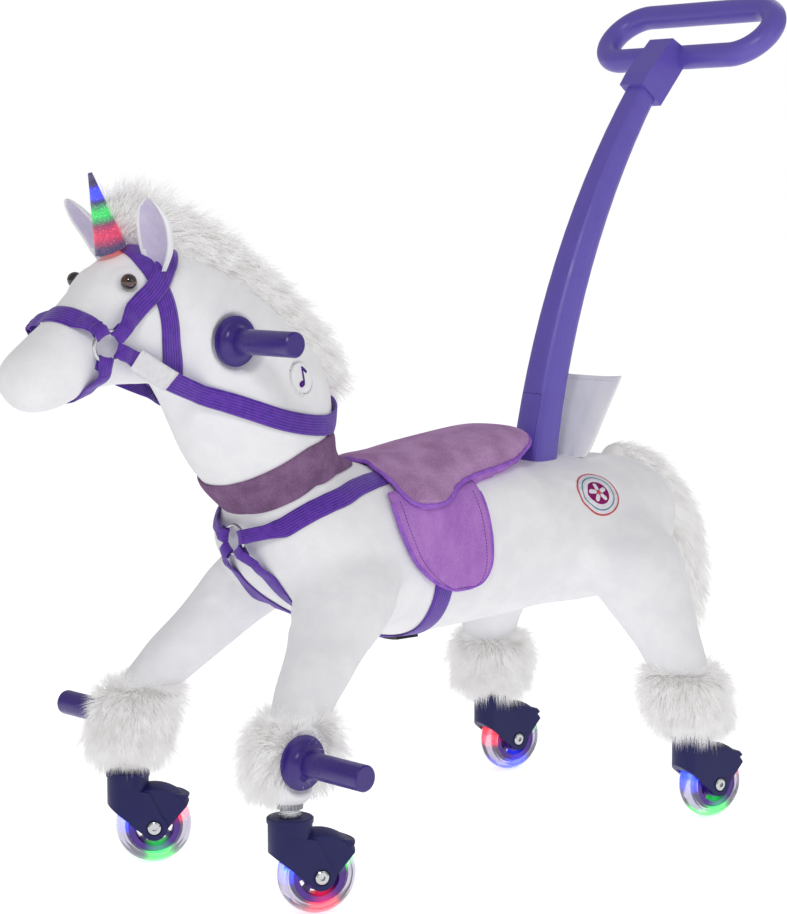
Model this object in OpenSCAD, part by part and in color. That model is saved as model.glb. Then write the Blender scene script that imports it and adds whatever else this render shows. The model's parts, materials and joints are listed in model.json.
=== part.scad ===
// Push-along plush unicorn on four swivel casters, with a lift-off push handle.
// +X points to the head, +Y to the rider's left, +Z up; the origin is on the floor under the middle.

/* [Casters] */
// Diameter of the wheel's moulded core
core_d = 52; // [48:1:56]
// Thickness of the tyre on the core
tyre_t = 12; // [10:0.5:13]
// Width of each wheel
wheel_w = 24; // [21:1:27]
// Diameter of the axle bolt
axle_d = 8; // [6:0.5:9]
// Outside diameter of the wheel bearings
bearing_d = 22; // [20:0.5:24]
// Width of one wheel bearing
bearing_w = 7; // [6:0.5:8]
// Distance from the swivel axis back to the axle
trail = 25.6; // [22:0.2:29]
// Height of the fork's top above the axle
fork_rise = 56; // [54:1:62]
// Width across the outside of the fork
fork_w = 37; // [35:0.5:42]
// Diameter of the fork's swivel housing
housing_d = 42; // [38:1:46]
// Diameter of the stem's swivel pin
pin_d = 12; // [9:0.5:14]
// Visible length of the stem between fork and foot
stem_show = 8; // [6:0.5:14]
// Distance of the front swivels in front of the middle
front_x = 266; // [250:1:280]
// Distance of each front swivel from the centre plane
front_y = 125.8; // [115:0.2:135]
// Distance of the rear swivels behind the middle
rear_x = 282; // [270:1:295]
// Distance of each rear swivel from the centre plane
rear_y = 151.3; // [140:0.1:160]

/* [Frame] */
// Height of the spine tube above the casters
frame_rise = 186; // [180:1:192]
// Diameter of the spine tube
spine_d = 28; // [22:1:32]
// Diameter of the leg tubes
leg_tube_d = 25; // [23:0.5:28]
// Wall of the leg tubes
tube_wall = 3; // [1.5:0.1:4]
// Diameter of the handlebar tube
bar_d = 16; // [12:0.5:18]

/* [Grips and pegs] */
// Diameter of the hand grips
grip_d = 24; // [22:0.5:28]
// Length of a grip from its flange to its tip
grip_l = 85; // [70:1:95]
// Diameter of the grip flange
grip_flange_d = 48; // [42:1:54]
// Distance of the grip flanges from the centre plane
grip_y = 57; // [54:1:62]
// Diameter of the foot pegs
peg_d = 25; // [22:0.5:28]
// Length of a peg from its flange to its tip
peg_l = 85; // [70:1:95]
// Diameter of the peg flange
peg_flange_d = 52; // [46:1:56]
// Distance from the leg's axis to the peg flange
peg_reach = 20.2; // [18:0.2:24]
// Height of the pegs above the casters
peg_rise = 54; // [50:1:60]

/* [Push handle] */
// Radius of the pole's bend
pole_bend = 908; // [800:2:1100]
// Lean of the pole where it leaves the saddle, in degrees
pole_lean = 9; // [6:0.5:12]
// Angle that the pole bends through, in degrees
pole_sweep = 28; // [24:0.5:30]
// Width of the pole at its foot
pole_w = 42; // [38:1:46]
// Width of the pole at its top
pole_top_w = 29; // [26:1:32]
// Side of the square tang under the pole
tang_w = 24; // [20:0.5:28]
// Length of the tang
tang_l = 62; // [50:1:66]
// Diameter of the loop's tube
loop_d = 27; // [22:0.5:30]
// Straight length of the loop's two bars
loop_straight = 158; // [140:2:190]
// Bend radius of the loop's round ends
loop_r = 37; // [34:1:46]
// Tilt of the loop above level, in degrees
loop_tilt = 45; // [30:1:50]
// Height of the release latch
latch_h = 60; // [50:1:66]
// Width of the release latch
latch_w = 27; // [20:0.5:29]
// Travel of the release latch
latch_travel = 2.5; // [2:0.1:3]

/* [Plush and tack] */
// Width of the webbing straps
strap_w = 20; // [16:0.5:22]
// Thickness of the webbing
strap_t = 2; // [1.5:0.1:2.5]
// Gap between a strap and the plush under it
strap_gap = 0.7; // [0.6:0.1:0.9]
// Gap at the seams between plush pieces
seam = 0.3; // [0.2:0.05:0.4]
// Length of the horn
horn_l = 77; // [66:1:84]
// Diameter of the horn at its foot
horn_d = 32; // [28:0.5:34]
// Diameter of the sound button
sound_d = 30; // [26:0.5:34]
// Travel of the sound button
sound_travel = 2.5; // [2:0.1:3]

/* [Hidden] */
$fn = 48;
// Fits: pressed or seated pieces, running pins, and pieces that pass each other
seat_gap = 0.05;
run_gap = 0.05;
clear = 0.4;
// Rest angles of the casters, turned about the swivel from straight trailing
CORNERS = [
    ["front_left", front_x, front_y, -24.5],
    ["front_right", front_x, -front_y, -36],
    ["rear_left", -rear_x, rear_y, -11.3],
    ["rear_right", -rear_x, -rear_y, -9.6]
];
CASTER_PIECES = ["fork", "axle", "bearings", "wheel_core", "tyre", "wheel_lights"];

wheel_r = core_d / 2 + tyre_t;
caster_top = wheel_r + fork_rise;
foot_z = caster_top + stem_show;
spine_z = caster_top + frame_rise;
peg_z = caster_top + peg_rise;
WHITE = "#EEEEF2";
FUR = "#F3F0EC";
PLASTIC = "#3B2A85";
POLE = "#54479F";
FORK = "#2E2C62";
WEB = "#5A2FA0";
VELOUR = "#9B7396";
FELT = "#A46BC0";
STEEL = "#B9BBC0";

// Curves and lofts. A station is [centre, half axis towards 0 degrees, half axis towards 90 degrees].
function bend(a, b, c, d, t) =
    0.5 * (2 * b + (c - a) * t + (2 * a - 5 * b + 4 * c - d) * t * t + (3 * b - a - 3 * c + d) * t * t * t);
function smooth(p, n) = [
    for (i = [0:len(p) - 2]) for (k = [0:n - 1])
        bend(p[max(i - 1, 0)], p[i], p[i + 1], p[min(i + 2, len(p) - 1)], k / n),
    p[len(p) - 1]
];
function grown(v, g) = v * (1 + g / norm(v));
function between(rings, s) =
    let (i = max(0, min(floor(s), len(rings) - 2)))
    rings[i] + (rings[i + 1] - rings[i]) * (s - i);
function on(rings, s, a, g = 0) =
    let (r = between(rings, s))
    r[0] + grown(r[1], g) * cos(a) + grown(r[2], g) * sin(a);
function unit(v) = v / norm(v);
function outward(rings, s, a) =
    unit(cross(on(rings, s, a + 1) - on(rings, s, a - 1), on(rings, s + 0.05, a) - on(rings, s - 0.05, a)));
function ring(st, n, g) = [
    for (k = [0:n - 1]) st[0] + grown(st[1], g) * cos(360 * k / n) + grown(st[2], g) * sin(360 * k / n)
];
function skin(m, n, closed) = [
    for (i = [0:(closed ? m - 1 : m - 2)]) for (k = [0:n - 1])
        each [
            [i * n + k, ((i + 1) % m) * n + (k + 1) % n, i * n + (k + 1) % n],
            [i * n + k, ((i + 1) % m) * n + k, ((i + 1) % m) * n + (k + 1) % n]
        ]
];
function caps(m, n) = [[for (k = [0:n - 1]) k], [for (k = [n - 1:-1:0]) (m - 1) * n + k]];

module loft(rings, n, g = 0) {
    polyhedron([for (r = rings) each ring(r, n, g)], concat(skin(len(rings), n, false), caps(len(rings), n)));
}

// A flat band along points p with outward normals q, its inner face g off the points.
module band(p, q, w, g, t, closed = false) {
    m = len(p);
    along = [for (i = [0:m - 1]) closed
        ? unit(p[(i + 1) % m] - p[(i + m - 1) % m])
        : unit(p[min(i + 1, m - 1)] - p[max(i - 1, 0)])];
    pts = [for (i = [0:m - 1]) let (side = unit(cross(along[i], q[i])) * w / 2)
        each [p[i] + q[i] * g + side, p[i] + q[i] * g - side,
              p[i] + q[i] * (g + t) - side, p[i] + q[i] * (g + t) + side]];
    polyhedron(pts, closed ? skin(m, 4, true) : concat(skin(m, 4, false), caps(m, 4)));
}

// A strap laid on a loft along a path of [station, angle] pairs.
module strap(rings, path, w = strap_w, g = strap_gap, t = strap_t, closed = false) {
    points = [for (c = path) on(rings, c[0], c[1])];
    normals = [for (c = path) outward(rings, c[0], c[1])];
    band(points, normals, w, g, t, closed);
}

module both_sides() {
    children();
    mirror([0, 1, 0]) children();
}

module tube(a, b, d) {
    v = b - a;
    translate(a) rotate([0, acos(v[2] / norm(v)), atan2(v[1], v[0])]) cylinder(d = d, h = norm(v));
}

// Plush forms: heights are measured from the spine tube.
function slice(x, low, high, w) = [[x, 0, spine_z + (low + high) / 2], [0, 0, (high - low) / 2], [0, w, 0]];
chest_x = 224;
TORSO = smooth([
    slice(chest_x, 51, 65, 10), slice(221, 35, 80, 36), slice(212, 18, 94, 59), slice(196, 3, 111, 73),
    slice(165, -16, 127, 85), slice(100, -44, 130, 92), slice(40, -58, 110, 94), slice(-60, -56, 106, 93),
    slice(-180, -50, 106, 97), slice(-270, -50, 108, 99), slice(-330, -36, 104, 88), slice(-364, -8, 88, 60),
    slice(-380, 25, 58, 20)
], 2);
TORSO_INDEX = [for (i = [0:len(TORSO) - 1]) [TORSO[i][0][0], i]];
function torso_s(x) = lookup(x, TORSO_INDEX);
torso_sides = 32;

HEAD = smooth([
    slice(493, 222, 236, 9), slice(484, 202, 252, 31), slice(464, 194, 267, 38.5), slice(436, 200, 288, 41),
    slice(406, 211, 315, 47), slice(374, 214, 342, 51), slice(338, 212, 348, 50), slice(302, 216, 338, 44)
], 2);
HEAD_INDEX = [for (i = [0:len(HEAD) - 1]) [HEAD[i][0][0], i]];
function head_s(x) = lookup(x, HEAD_INDEX);

// A neck station from its front and back points and its half width
function cut(f, b, w) = [
    [(f[0] + b[0]) / 2, 0, spine_z + (f[1] + b[1]) / 2], [(f[0] - b[0]) / 2, 0, (f[1] - b[1]) / 2], [0, w, 0]
];
NECK = smooth([
    cut([205, 50], [112, 112], 54), cut([233, 86], [121, 158], 59), cut([266, 116], [118, 184], 66),
    cut([292, 154], [120, 210], 67), cut([309, 186], [136, 240], 64), cut([326, 212], [170, 272], 60),
    cut([346, 245], [222, 308], 57), cut([362, 282], [275, 333], 50), cut([362, 322], [312, 342], 32)
], 2);

// A leg station at a height above the casters
function leg_cut(x, y, h, rx, ry) = [[x, y, caster_top + h], [rx, 0, 0], [0, ry, 0]];
FRONT_LEG = smooth([
    leg_cut(front_x, front_y, stem_show, 15, 15), leg_cut(front_x, front_y, stem_show + 6, 23, 23),
    leg_cut(front_x, front_y, 46, 25, 25), leg_cut(front_x - 6, front_y - 4, 70, 28, 27),
    leg_cut(front_x - 25, front_y - 12, 93, 35, 30), leg_cut(front_x - 64, front_y - 27, 132, 46, 35),
    leg_cut(front_x - 102, front_y - 44, 164, 56, 42), leg_cut(front_x - 130, front_y - 60, 206, 58, 42),
    leg_cut(front_x - 146, front_y - 76, 244, 30, 20)
], 2);
REAR_LEG = smooth([
    leg_cut(-rear_x, rear_y, stem_show, 15, 15), leg_cut(-rear_x, rear_y, stem_show + 6, 23, 23),
    leg_cut(-rear_x + 3, rear_y - 2, 46, 27, 26), leg_cut(-rear_x + 12, rear_y - 10, 70, 33, 31),
    leg_cut(-rear_x + 17, rear_y - 18, 96, 38, 35), leg_cut(-rear_x + 24, rear_y - 34, 132, 46, 42),
    leg_cut(-rear_x + 30, rear_y - 52, 170, 58, 52), leg_cut(-rear_x + 34, rear_y - 70, 206, 64, 54),
    leg_cut(-rear_x + 38, rear_y - 88, 244, 36, 26)
], 2);
leg_sides = 20;

module torso_form(g = 0) { loft(TORSO, torso_sides, g); }
module neck_form(g = 0) { loft(NECK, 28, g); }
module head_form(g = 0) { loft(HEAD, 28, g); }
module leg_form(rings, g = 0) { loft(rings, leg_sides, g); }

// Internal frame
spine_front = 150;
spine_back = -262;
front_joint = [130, 44, spine_z + 4];
rear_joint = [-250, 66, spine_z];
front_knee = [front_x, front_y, caster_top + 66];
rear_knee = [-rear_x, rear_y, caster_top + 62];
bar_x = 270;
bar_z = spine_z + 254;
neck_foot = [spine_front - 10, 0, spine_z];
neck_top = neck_foot + ([bar_x, 0, bar_z] - neck_foot) * 1.08;
neck_tube_d = 25;
cross_d = 22;
joint_d = leg_tube_d + 9;
knee_d = leg_tube_d + 1.2;
stub_d = 9.9;
stub_part = 0.55;
bar_part = 0.7;

module frame_solids(g = 0) {
    translate([spine_back, 0, spine_z]) rotate([0, 90, 0])
        cylinder(d = spine_d + 2 * g, h = spine_front - spine_back);
    tube(neck_foot, neck_top, neck_tube_d + 2 * g);
    for (j = [front_joint, rear_joint]) {
        translate([j[0], 0, j[2]]) rotate([90, 0, 0])
            cylinder(d = cross_d + 2 * g, h = 2 * j[1], center = true);
        both_sides() translate(j) sphere(d = joint_d + 2 * g);
    }
    translate([bar_x, 0, bar_z]) rotate([90, 0, 0])
        cylinder(d = bar_d + 2 * g, h = 2 * (grip_y + grip_l * bar_part), center = true);
}

module leg_tube(foot, knee, joint, g = 0) {
    d = leg_tube_d + 2 * g;
    translate(foot) cylinder(d = d, h = knee[2] - foot[2]);
    translate(knee) sphere(d = knee_d + 2 * g);
    tube(knee, joint, d);
}

module front_tube(g = 0) {
    leg_tube([front_x, front_y, foot_z], front_knee, front_joint, g);
    translate([front_x, front_y, peg_z]) rotate([-90, 0, 0])
        cylinder(d = stub_d + 2 * g, h = peg_reach + peg_l * stub_part);
}

module rear_tube(g = 0) { leg_tube([-rear_x, rear_y, foot_z], rear_knee, rear_joint, g); }

module main_frame() { color(STEEL) frame_solids(); }

module leg_tubes() {
    color(STEEL) both_sides() difference() {
        union() {
            front_tube();
            rear_tube();
        }
        for (c = [[front_x, front_y], [-rear_x, rear_y]])
            translate([c[0], c[1], foot_z - 1])
                cylinder(d = leg_tube_d - 2 * tube_wall, h = stem_plug + 1 + seat_gap);
        frame_solids(seat_gap);
    }
}

// Casters
stem_d = leg_tube_d - 2 * tube_wall - 2 * seat_gap;
stem_plug = 26;
arch_r = wheel_r + 2;
arch_w = wheel_w + 1;
fork_floor = 2;
pin_l = fork_rise - sqrt(pow(arch_r, 2) - pow(max(trail - pin_d / 2, 0), 2)) - fork_floor;
boss_r = 13;
lip_h = 5;
fender_r = arch_r + 3.5;
fender_end = 138;
guard_low = 190;
guard_w = fork_w - 3.2;
guard_round = 0.95 * guard_w;
head_d = 13;
head_h = 4;
nut_h = 5;
pocket_d = 16;
pocket_h = 2.4;

function touch(p, c, r, side) =
    let (v = p - c, a = atan2(v[1], v[0]) + side * acos(r / norm(v)))
    c + polar(r, a);

// Side views of the fork with the swivel axis at 0 and the axle's height at 0
fork_axle = [-trail, 0];
fork_knee = [housing_d / 2, fork_rise - 34];
fork_rib = [-housing_d / 2, fork_rise - 20];
knee_touch = touch(fork_knee, fork_axle, boss_r - 1, -1);
knee_run = fork_knee - knee_touch;
// Setback of the housing behind the cheeks' knee line
knee_set = 0.5;
// Height of the knee line at the swivel axis
knee_mid = fork_knee[1] - knee_run[1] * fork_knee[0] / knee_run[0];
flat_top = fork_rise - 15;
fork_open = 4 * housing_d;

module fork_cheek() {
    translate(fork_axle) circle(r = boss_r);
    polygon([
        [0, flat_top - 2], [0, knee_mid], knee_touch,
        fork_axle, touch(fork_rib, fork_axle, boss_r - 1, 1), fork_rib
    ]);
}

function polar(r, a) = r * [cos(a), sin(a)];

module fork_guard(r) {
    translate(fork_axle) intersection() {
        circle(r = r);
        polygon([
            [0, 0], polar(boss_r, guard_low), polar(2 * r, fender_end), [-r, 2 * r], [trail, 2 * r],
            [trail, knee_mid + 2]
        ]);
    }
}

module fender_lip() {
    lip_in = arch_r - 2;
    translate(fork_axle) polygon([
        polar(lip_in, fender_end - 1), polar(fender_r + 4, fender_end + 2),
        polar(fender_r - 3, fender_end - 15), polar(lip_in, fender_end - 15)
    ]);
}

// Rounded outside of the guard, turned about the axle
module fender_crown(r) {
    translate(fork_axle) rotate([0, 0, -80]) rotate_extrude() intersection() {
        translate([0, -guard_w / 2]) square([r, guard_w]);
        translate([r - guard_round, 0]) circle(r = guard_round);
    }
}

// Round housing, flat sided below and cut off along the line from the knee to the axle boss
module fork_housing() {
    difference() {
        cylinder(d = housing_d, h = fork_rise - lip_h);
        for (s = [0, 1]) mirror([0, s, 0]) translate([-housing_d, fork_w / 2, -1])
            cube([2 * housing_d, housing_d, flat_top + 1]);
        rotate([90, 0, 0]) linear_extrude(2 * housing_d, center = true) translate([-knee_set, knee_set])
            polygon([fork_knee + knee_run, knee_touch, [knee_touch[0], -fork_open], [fork_open, -fork_open]]);
    }
}

module fork() {
    lip_d = housing_d + 2.4;
    color(FORK) difference() {
        union() {
            fork_housing();
            translate([0, 0, fork_rise - lip_h]) cylinder(d = lip_d, h = lip_h - 1);
            translate([0, 0, fork_rise - 1]) cylinder(d1 = lip_d, d2 = housing_d, h = 1);
            rotate([90, 0, 0]) {
                linear_extrude(fork_w, center = true) fork_cheek();
                intersection() {
                    linear_extrude(guard_w, center = true) fork_guard(fender_r);
                    fender_crown(fender_r);
                }
                intersection() {
                    linear_extrude(guard_w - 1, center = true) fender_lip();
                    fender_crown(fender_r + 4);
                }
            }
        }
        translate([-trail, 0, 0]) rotate([90, 0, 0]) cylinder(r = arch_r, h = arch_w, center = true);
        translate([-trail, 0, 0]) rotate([90, 0, 0]) {
            cylinder(d = axle_d + 2 * seat_gap, h = fork_w + 2, center = true);
            for (s = [-1, 1]) translate([0, 0, s * fork_w / 2])
                cylinder(d = pocket_d, h = 2 * pocket_h, center = true);
        }
        translate([0, 0, fork_rise - pin_l]) cylinder(d = pin_d + 2 * run_gap, h = pin_l + 1);
    }
}

module axle() {
    grip = fork_w - 2 * pocket_h;
    core = arch_w - 2 * bearing_w - 1.6;
    color(STEEL) translate([-trail, 0, 0]) rotate([-90, 0, 0]) {
        difference() {
            union() {
                translate([0, 0, -grip / 2 - nut_h]) cylinder(d = axle_d, h = grip + nut_h);
                translate([0, 0, grip / 2]) cylinder(d = head_d, h = head_h - 1);
                translate([0, 0, grip / 2 + head_h - 1]) cylinder(d1 = head_d, d2 = head_d - 3, h = 1);
            }
            translate([0, 0, grip / 2 + head_h - 2.2]) cylinder(d = axle_d * 0.75, h = 3, $fn = 6);
        }
        translate([0, 0, -grip / 2 - nut_h]) difference() {
            cylinder(d = head_d * 1.13, h = nut_h, $fn = 6);
            translate([0, 0, -1]) cylinder(d = axle_d + 2 * seat_gap, h = nut_h + 2);
        }
        difference() {
            cylinder(d = axle_d + 4, h = core, center = true);
            cylinder(d = axle_d + 2 * seat_gap, h = core + 2, center = true);
        }
    }
}

module at_wheel() { translate([-trail, 0, 0]) rotate([90, 0, 0]) children(); }

module bearings() {
    groove = 0.6;
    color(STEEL) at_wheel() for (s = [-1, 1]) translate([0, 0, s * (wheel_w - bearing_w) / 2]) difference() {
        cylinder(d = bearing_d, h = bearing_w, center = true);
        cylinder(d = axle_d + 2 * run_gap, h = bearing_w + 2, center = true);
        translate([0, 0, s * bearing_w / 2]) difference() {
            cylinder(d = bearing_d - 5, h = 2 * groove, center = true);
            cylinder(d = axle_d + 5, h = 2 * groove + 1, center = true);
        }
    }
}

rim_t = 6;
web_w = 9;
lock_h = 3;
lock_w = 8;
light_d = 5;
light_l = rim_t - 1;
LIGHT_ANGLES = [20, 140, 260];

module wheel_core() {
    windows = 8;
    window_r = (bearing_d / 2 + 3 + core_d / 2 - rim_t) / 2;
    window_w = (core_d / 2 - rim_t - bearing_d / 2 - 3) * 0.62;
    color("#6A4BB0") at_wheel() difference() {
        rotate_extrude() {
            translate([axle_d / 2 + 4, -wheel_w / 2]) square([bearing_d / 2 - axle_d / 2 - 1, wheel_w]);
            translate([bearing_d / 2, -web_w / 2]) square([core_d / 2 - bearing_d / 2 - rim_t / 2, web_w]);
            translate([core_d / 2 - rim_t, -wheel_w / 2 + 1.5]) square([rim_t, wheel_w - 3]);
            translate([core_d / 2 - 1, -lock_w / 2]) square([lock_h + 1, lock_w]);
        }
        for (s = [-1, 1]) translate([0, 0, s * wheel_w / 2])
            cylinder(d = bearing_d + 2 * seat_gap, h = 2 * (bearing_w + seat_gap), center = true);
        for (k = [0:windows - 1]) rotate([0, 0, 360 * k / windows]) rotate_extrude(angle = 28)
            translate([window_r - window_w / 2, -web_w]) square([window_w, 2 * web_w]);
        lights(seat_gap);
    }
}

module lights(g = 0) {
    for (a = LIGHT_ANGLES)
        rotate([0, 0, a]) translate([core_d / 2 + lock_h - light_l - clear, 0, 0]) rotate([0, 90, 0])
            cylinder(d = light_d + 2 * g, h = light_l + (g > 0 ? 1 : 0));
}

module wheel_lights() { color("#40D060") at_wheel() lights(); }

module tyre() {
    crown_r = wheel_w * 0.62;
    color("#DADDE8") at_wheel() difference() {
        rotate_extrude() intersection() {
            translate([core_d / 2, -wheel_w / 2]) square([wheel_r - core_d / 2, wheel_w]);
            translate([wheel_r - crown_r, 0]) circle(r = crown_r);
        }
        cylinder(d = core_d + 2 * (lock_h + seat_gap), h = lock_w + 2 * seat_gap, center = true);
        cylinder(d = core_d + 2 * seat_gap, h = wheel_w + 2, center = true);
    }
}

module caster_at(c) { translate([c[1], c[2], wheel_r]) rotate([0, 0, c[3]]) children(); }

module caster_stems() {
    color(STEEL) for (c = CORNERS) translate([c[1], c[2], 0]) difference() {
        union() {
            translate([0, 0, caster_top - pin_l + clear]) cylinder(d = pin_d, h = pin_l);
            translate([0, 0, caster_top + clear]) cylinder(d = stem_d, h = stem_show + stem_plug - clear);
            translate([0, 0, caster_top + clear]) cylinder(d = stem_d + 3, h = 2.2);
        }
        for (k = [1:2]) translate([0, 0, caster_top + 2 + 2 * k]) difference() {
            cylinder(d = stem_d + 2, h = 0.8);
            translate([0, 0, -1]) cylinder(d = stem_d - 1.6, h = 3);
        }
    }
}

// Grips and pegs share one trumpet-shaped flange.
flange_t = 7;
module handle_bar(d, l, flange_d, hole_d, hole_l) {
    flare = (flange_d - d) / 2;
    rotate([-90, 0, 0]) difference() {
        union() {
            cylinder(d = d, h = l - 1.5);
            translate([0, 0, l - 1.5]) cylinder(d1 = d, d2 = d - 3, h = 1.5);
            translate([0, 0, -flange_t]) cylinder(d1 = flange_d - 6, d2 = flange_d, h = flange_t * 0.55);
            translate([0, 0, -flange_t * 0.45]) cylinder(d = flange_d, h = flange_t * 0.45);
            difference() {
                cylinder(d = d + 2 * flare * 0.8, h = flare * 0.8);
                rotate_extrude() translate([d / 2 + flare * 0.8, flare * 0.8]) circle(r = flare * 0.8);
            }
        }
        translate([0, 0, -flange_t - 1]) cylinder(d = hole_d, h = hole_l + flange_t + 1);
    }
}

// Room that a flange takes in the plush
module flange_room(flange_d, depth) {
    rotate([-90, 0, 0]) translate([0, 0, -flange_t - clear])
        cylinder(d = flange_d + 2 * clear, h = depth + flange_t);
}

module at_grip() { translate([bar_x, grip_y, bar_z]) children(); }
module at_peg() { translate([front_x, front_y + peg_reach, peg_z]) children(); }

module hand_grips() {
    color(PLASTIC) both_sides() at_grip()
        handle_bar(grip_d, grip_l, grip_flange_d, bar_d + 2 * seat_gap, grip_l * bar_part + clear);
}

module foot_pegs() {
    color(PLASTIC) both_sides() at_peg()
        handle_bar(peg_d, peg_l, peg_flange_d, stub_d + 2 * seat_gap, peg_l * stub_part + clear);
}

// Push handle: the pole's centre line bends back at a steady rate.
pole_foot = [-192, spine_z + 104];
function pole_at(t) = let (v = polar(pole_bend, pole_lean + t * pole_sweep) - polar(pole_bend, pole_lean))
    [pole_foot[0] + v[0], 0, pole_foot[1] + v[1]];
function soft(v) = sign(v) * pow(abs(v), 0.6);
function pole_half(t) = (pole_w + (pole_top_w - pole_w) * t) / 2;
function pole_ring(t, n) = let (a = pole_lean + t * pole_sweep, r = pole_half(t)) [
    for (k = [0:n - 1])
        pole_at(t) + r * soft(cos(360 * k / n)) * [cos(a), 0, sin(a)] + r * soft(sin(360 * k / n)) * [0, 1, 0]
];
pole_steps = 14;
pole_sides = 24;

module pole_form() {
    polyhedron([for (i = [0:pole_steps]) each pole_ring(i / pole_steps, pole_sides)],
        concat(skin(pole_steps + 1, pole_sides, false), caps(pole_steps + 1, pole_sides)));
}

module at_pole_foot() { translate([pole_foot[0], 0, pole_foot[1]]) rotate([0, -pole_lean, 0]) children(); }
module at_pole_top() { translate(pole_at(1)) rotate([0, -pole_lean - pole_sweep, 0]) children(); }

module tang(g = 0) {
    w = tang_w + 2 * g;
    translate([-w / 2, -w / 2, -tang_l - g]) cube([w, w, tang_l + g + 1]);
}

latch_low = 12;
latch_deep = 5;

module latch_box(g, deep) {
    at_pole_foot() rotate([0, -2, 0])
        translate([pole_w / 2 - deep, -latch_w / 2 - g, latch_low - g])
            cube([deep + 4, latch_w + 2 * g, latch_h + 2 * g]);
}

spigot_d = 16;
spigot_l = 26;

module push_pole() {
    color(POLE) difference() {
        union() {
            pole_form();
            at_pole_foot() tang();
            at_pole_top() translate([0, 0, -1]) cylinder(d = spigot_d, h = spigot_l + 1);
        }
        latch_box(clear, latch_deep + latch_travel + clear);
    }
}

module pole_latch() {
    color(POLE) intersection() {
        latch_box(0, latch_deep);
        pole_form();
    }
}

socket_wall = 4;
socket_w = tang_w + 2 * clear + 2 * socket_wall;

// Clamp block between the socket and the spine tube, with a shoulder on each side of the socket
module socket_block(g = 0) {
    w = socket_w + 6;
    translate([pole_foot[0] - 8 - g, -w / 2 - g, spine_z - g])
        cube([socket_w + 2 * g, w + 2 * g, pole_foot[1] - spine_z - tang_l + socket_wall + 2 * g]);
}

module socket_box(g = 0) {
    w = socket_w + 2 * g;
    h = tang_l + socket_wall;
    at_pole_foot() translate([-w / 2, -w / 2, -h - g]) cube([w, w, h - clear + 2 * g]);
}

module handle_socket() {
    color(FORK) difference() {
        union() {
            socket_box();
            socket_block();
        }
        at_pole_foot() tang(clear);
        frame_solids(seat_gap);
    }
}

// Room that the pole takes as it lifts out along its lean
module pole_room() {
    at_pole_foot() translate([-pole_w / 2 - 2, -pole_w / 2 - 2, -clear]) cube([pole_w + 4, pole_w + 4, 120]);
}

// Loop handle: its plane is tilted, its bars run across, and a wedge bracket takes the pole's top.
bracket_l = 66;
bracket_lean = 54;
module loop_ring() {
    rotate([0, 0, 90]) {
        for (s = [-1, 1]) {
            translate([-loop_straight / 2, s * loop_r, 0]) rotate([0, 90, 0])
                cylinder(d = loop_d, h = loop_straight);
            translate([s * loop_straight / 2, 0, 0]) rotate([0, 0, s * 90 - 180])
                rotate_extrude(angle = 180) translate([loop_r, 0]) circle(d = loop_d);
        }
    }
}

loop_bar = pole_at(1) + bracket_l * [-sin(bracket_lean), 0, cos(bracket_lean)];
loop_centre = loop_bar + loop_r * [-cos(loop_tilt), 0, sin(loop_tilt)];
module at_loop() {
    translate(loop_centre) rotate([0, loop_tilt, 0]) children();
}

module loop_handle() {
    color(POLE) difference() {
        union() {
            at_loop() loop_ring();
            at_pole_top() rotate([90, 0, 0]) linear_extrude(pole_top_w + 5, center = true) polygon([
                [pole_top_w / 2 + 5, -6], [pole_top_w / 2 + 5, 10], [pole_top_w / 2 - 4, bracket_l],
                [-10, bracket_l + 4], [-24, bracket_l - 16], [-pole_top_w / 2 - 5, -6]
            ]);
        }
        pole_form();
        at_pole_top() translate([0, 0, -0.5]) cylinder(d = spigot_d + 2 * seat_gap, h = spigot_l + 1);
    }
}

// Plush pieces: each smaller form is cut back from the larger ones.
sound_s = 7.7;
sound_a = 108;
sound_deep = 22.4;
sound_case_t = 14;
button_t = 6;
module at_sound() { on_surface(NECK, sound_s, sound_a, -sound_deep) children(); }

module torso() {
    color(WHITE) difference() {
        torso_form();
        frame_solids(clear);
        both_sides() {
            front_tube(clear);
            rear_tube(clear);
        }
        pole_room();
        socket_box(clear);
        socket_block(clear);
    }
}

module neck() {
    color(WHITE) difference() {
        neck_form();
        torso_form(seam);
        frame_solids(clear);
        both_sides() at_grip() flange_room(grip_flange_d, 60);
        at_sound() translate([0, 0, -clear]) cylinder(d = sound_d + 2 * clear, h = 3 * sound_deep);
    }
}

module head() {
    color(WHITE) difference() {
        head_form();
        neck_form(seam);
        tube(neck_foot, neck_top + (neck_top - neck_foot) * 0.02, neck_tube_d + 2 * clear);
    }
}

EAR = let (f = [cos(15), sin(15), 0], side = [-sin(15), cos(15), 0]) smooth([
    [[343, 33, spine_z + 316], 9 * f, 14 * side], [[355, 45, spine_z + 347], 7 * f, 18.5 * side],
    [[367, 55, spine_z + 368], 5 * f, 13.5 * side], [[379, 65, spine_z + 386], 2 * f, 2.5 * side]
], 3);

module ears() {
    color(WHITE) both_sides() difference() {
        loft(EAR, 16);
        head_form(seam);
        neck_form(seam);
    }
}

module front_leg() {
    color(WHITE) difference() {
        leg_form(FRONT_LEG);
        torso_form(seam);
        front_tube(clear);
        at_peg() flange_room(peg_flange_d, 60);
    }
}

module rear_leg() {
    color(WHITE) difference() {
        leg_form(REAR_LEG);
        torso_form(seam);
        rear_tube(clear);
    }
}

function tuft(x, h, lean, tall, w) = [[x, 0, spine_z + h], tall * [-sin(lean), 0, cos(lean)], [0, w, 0]];
MANE = smooth([
    tuft(378, 372, -20, 9, 6), tuft(350, 366, -5, 34, 17), tuft(303, 352, 22, 33, 19),
    tuft(252, 330, 32, 33, 19), tuft(196, 292, 40, 34, 19), tuft(146, 250, 47, 34, 19),
    tuft(118, 222, 58, 28, 17), tuft(100, 202, 70, 9, 6)
], 2);

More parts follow.
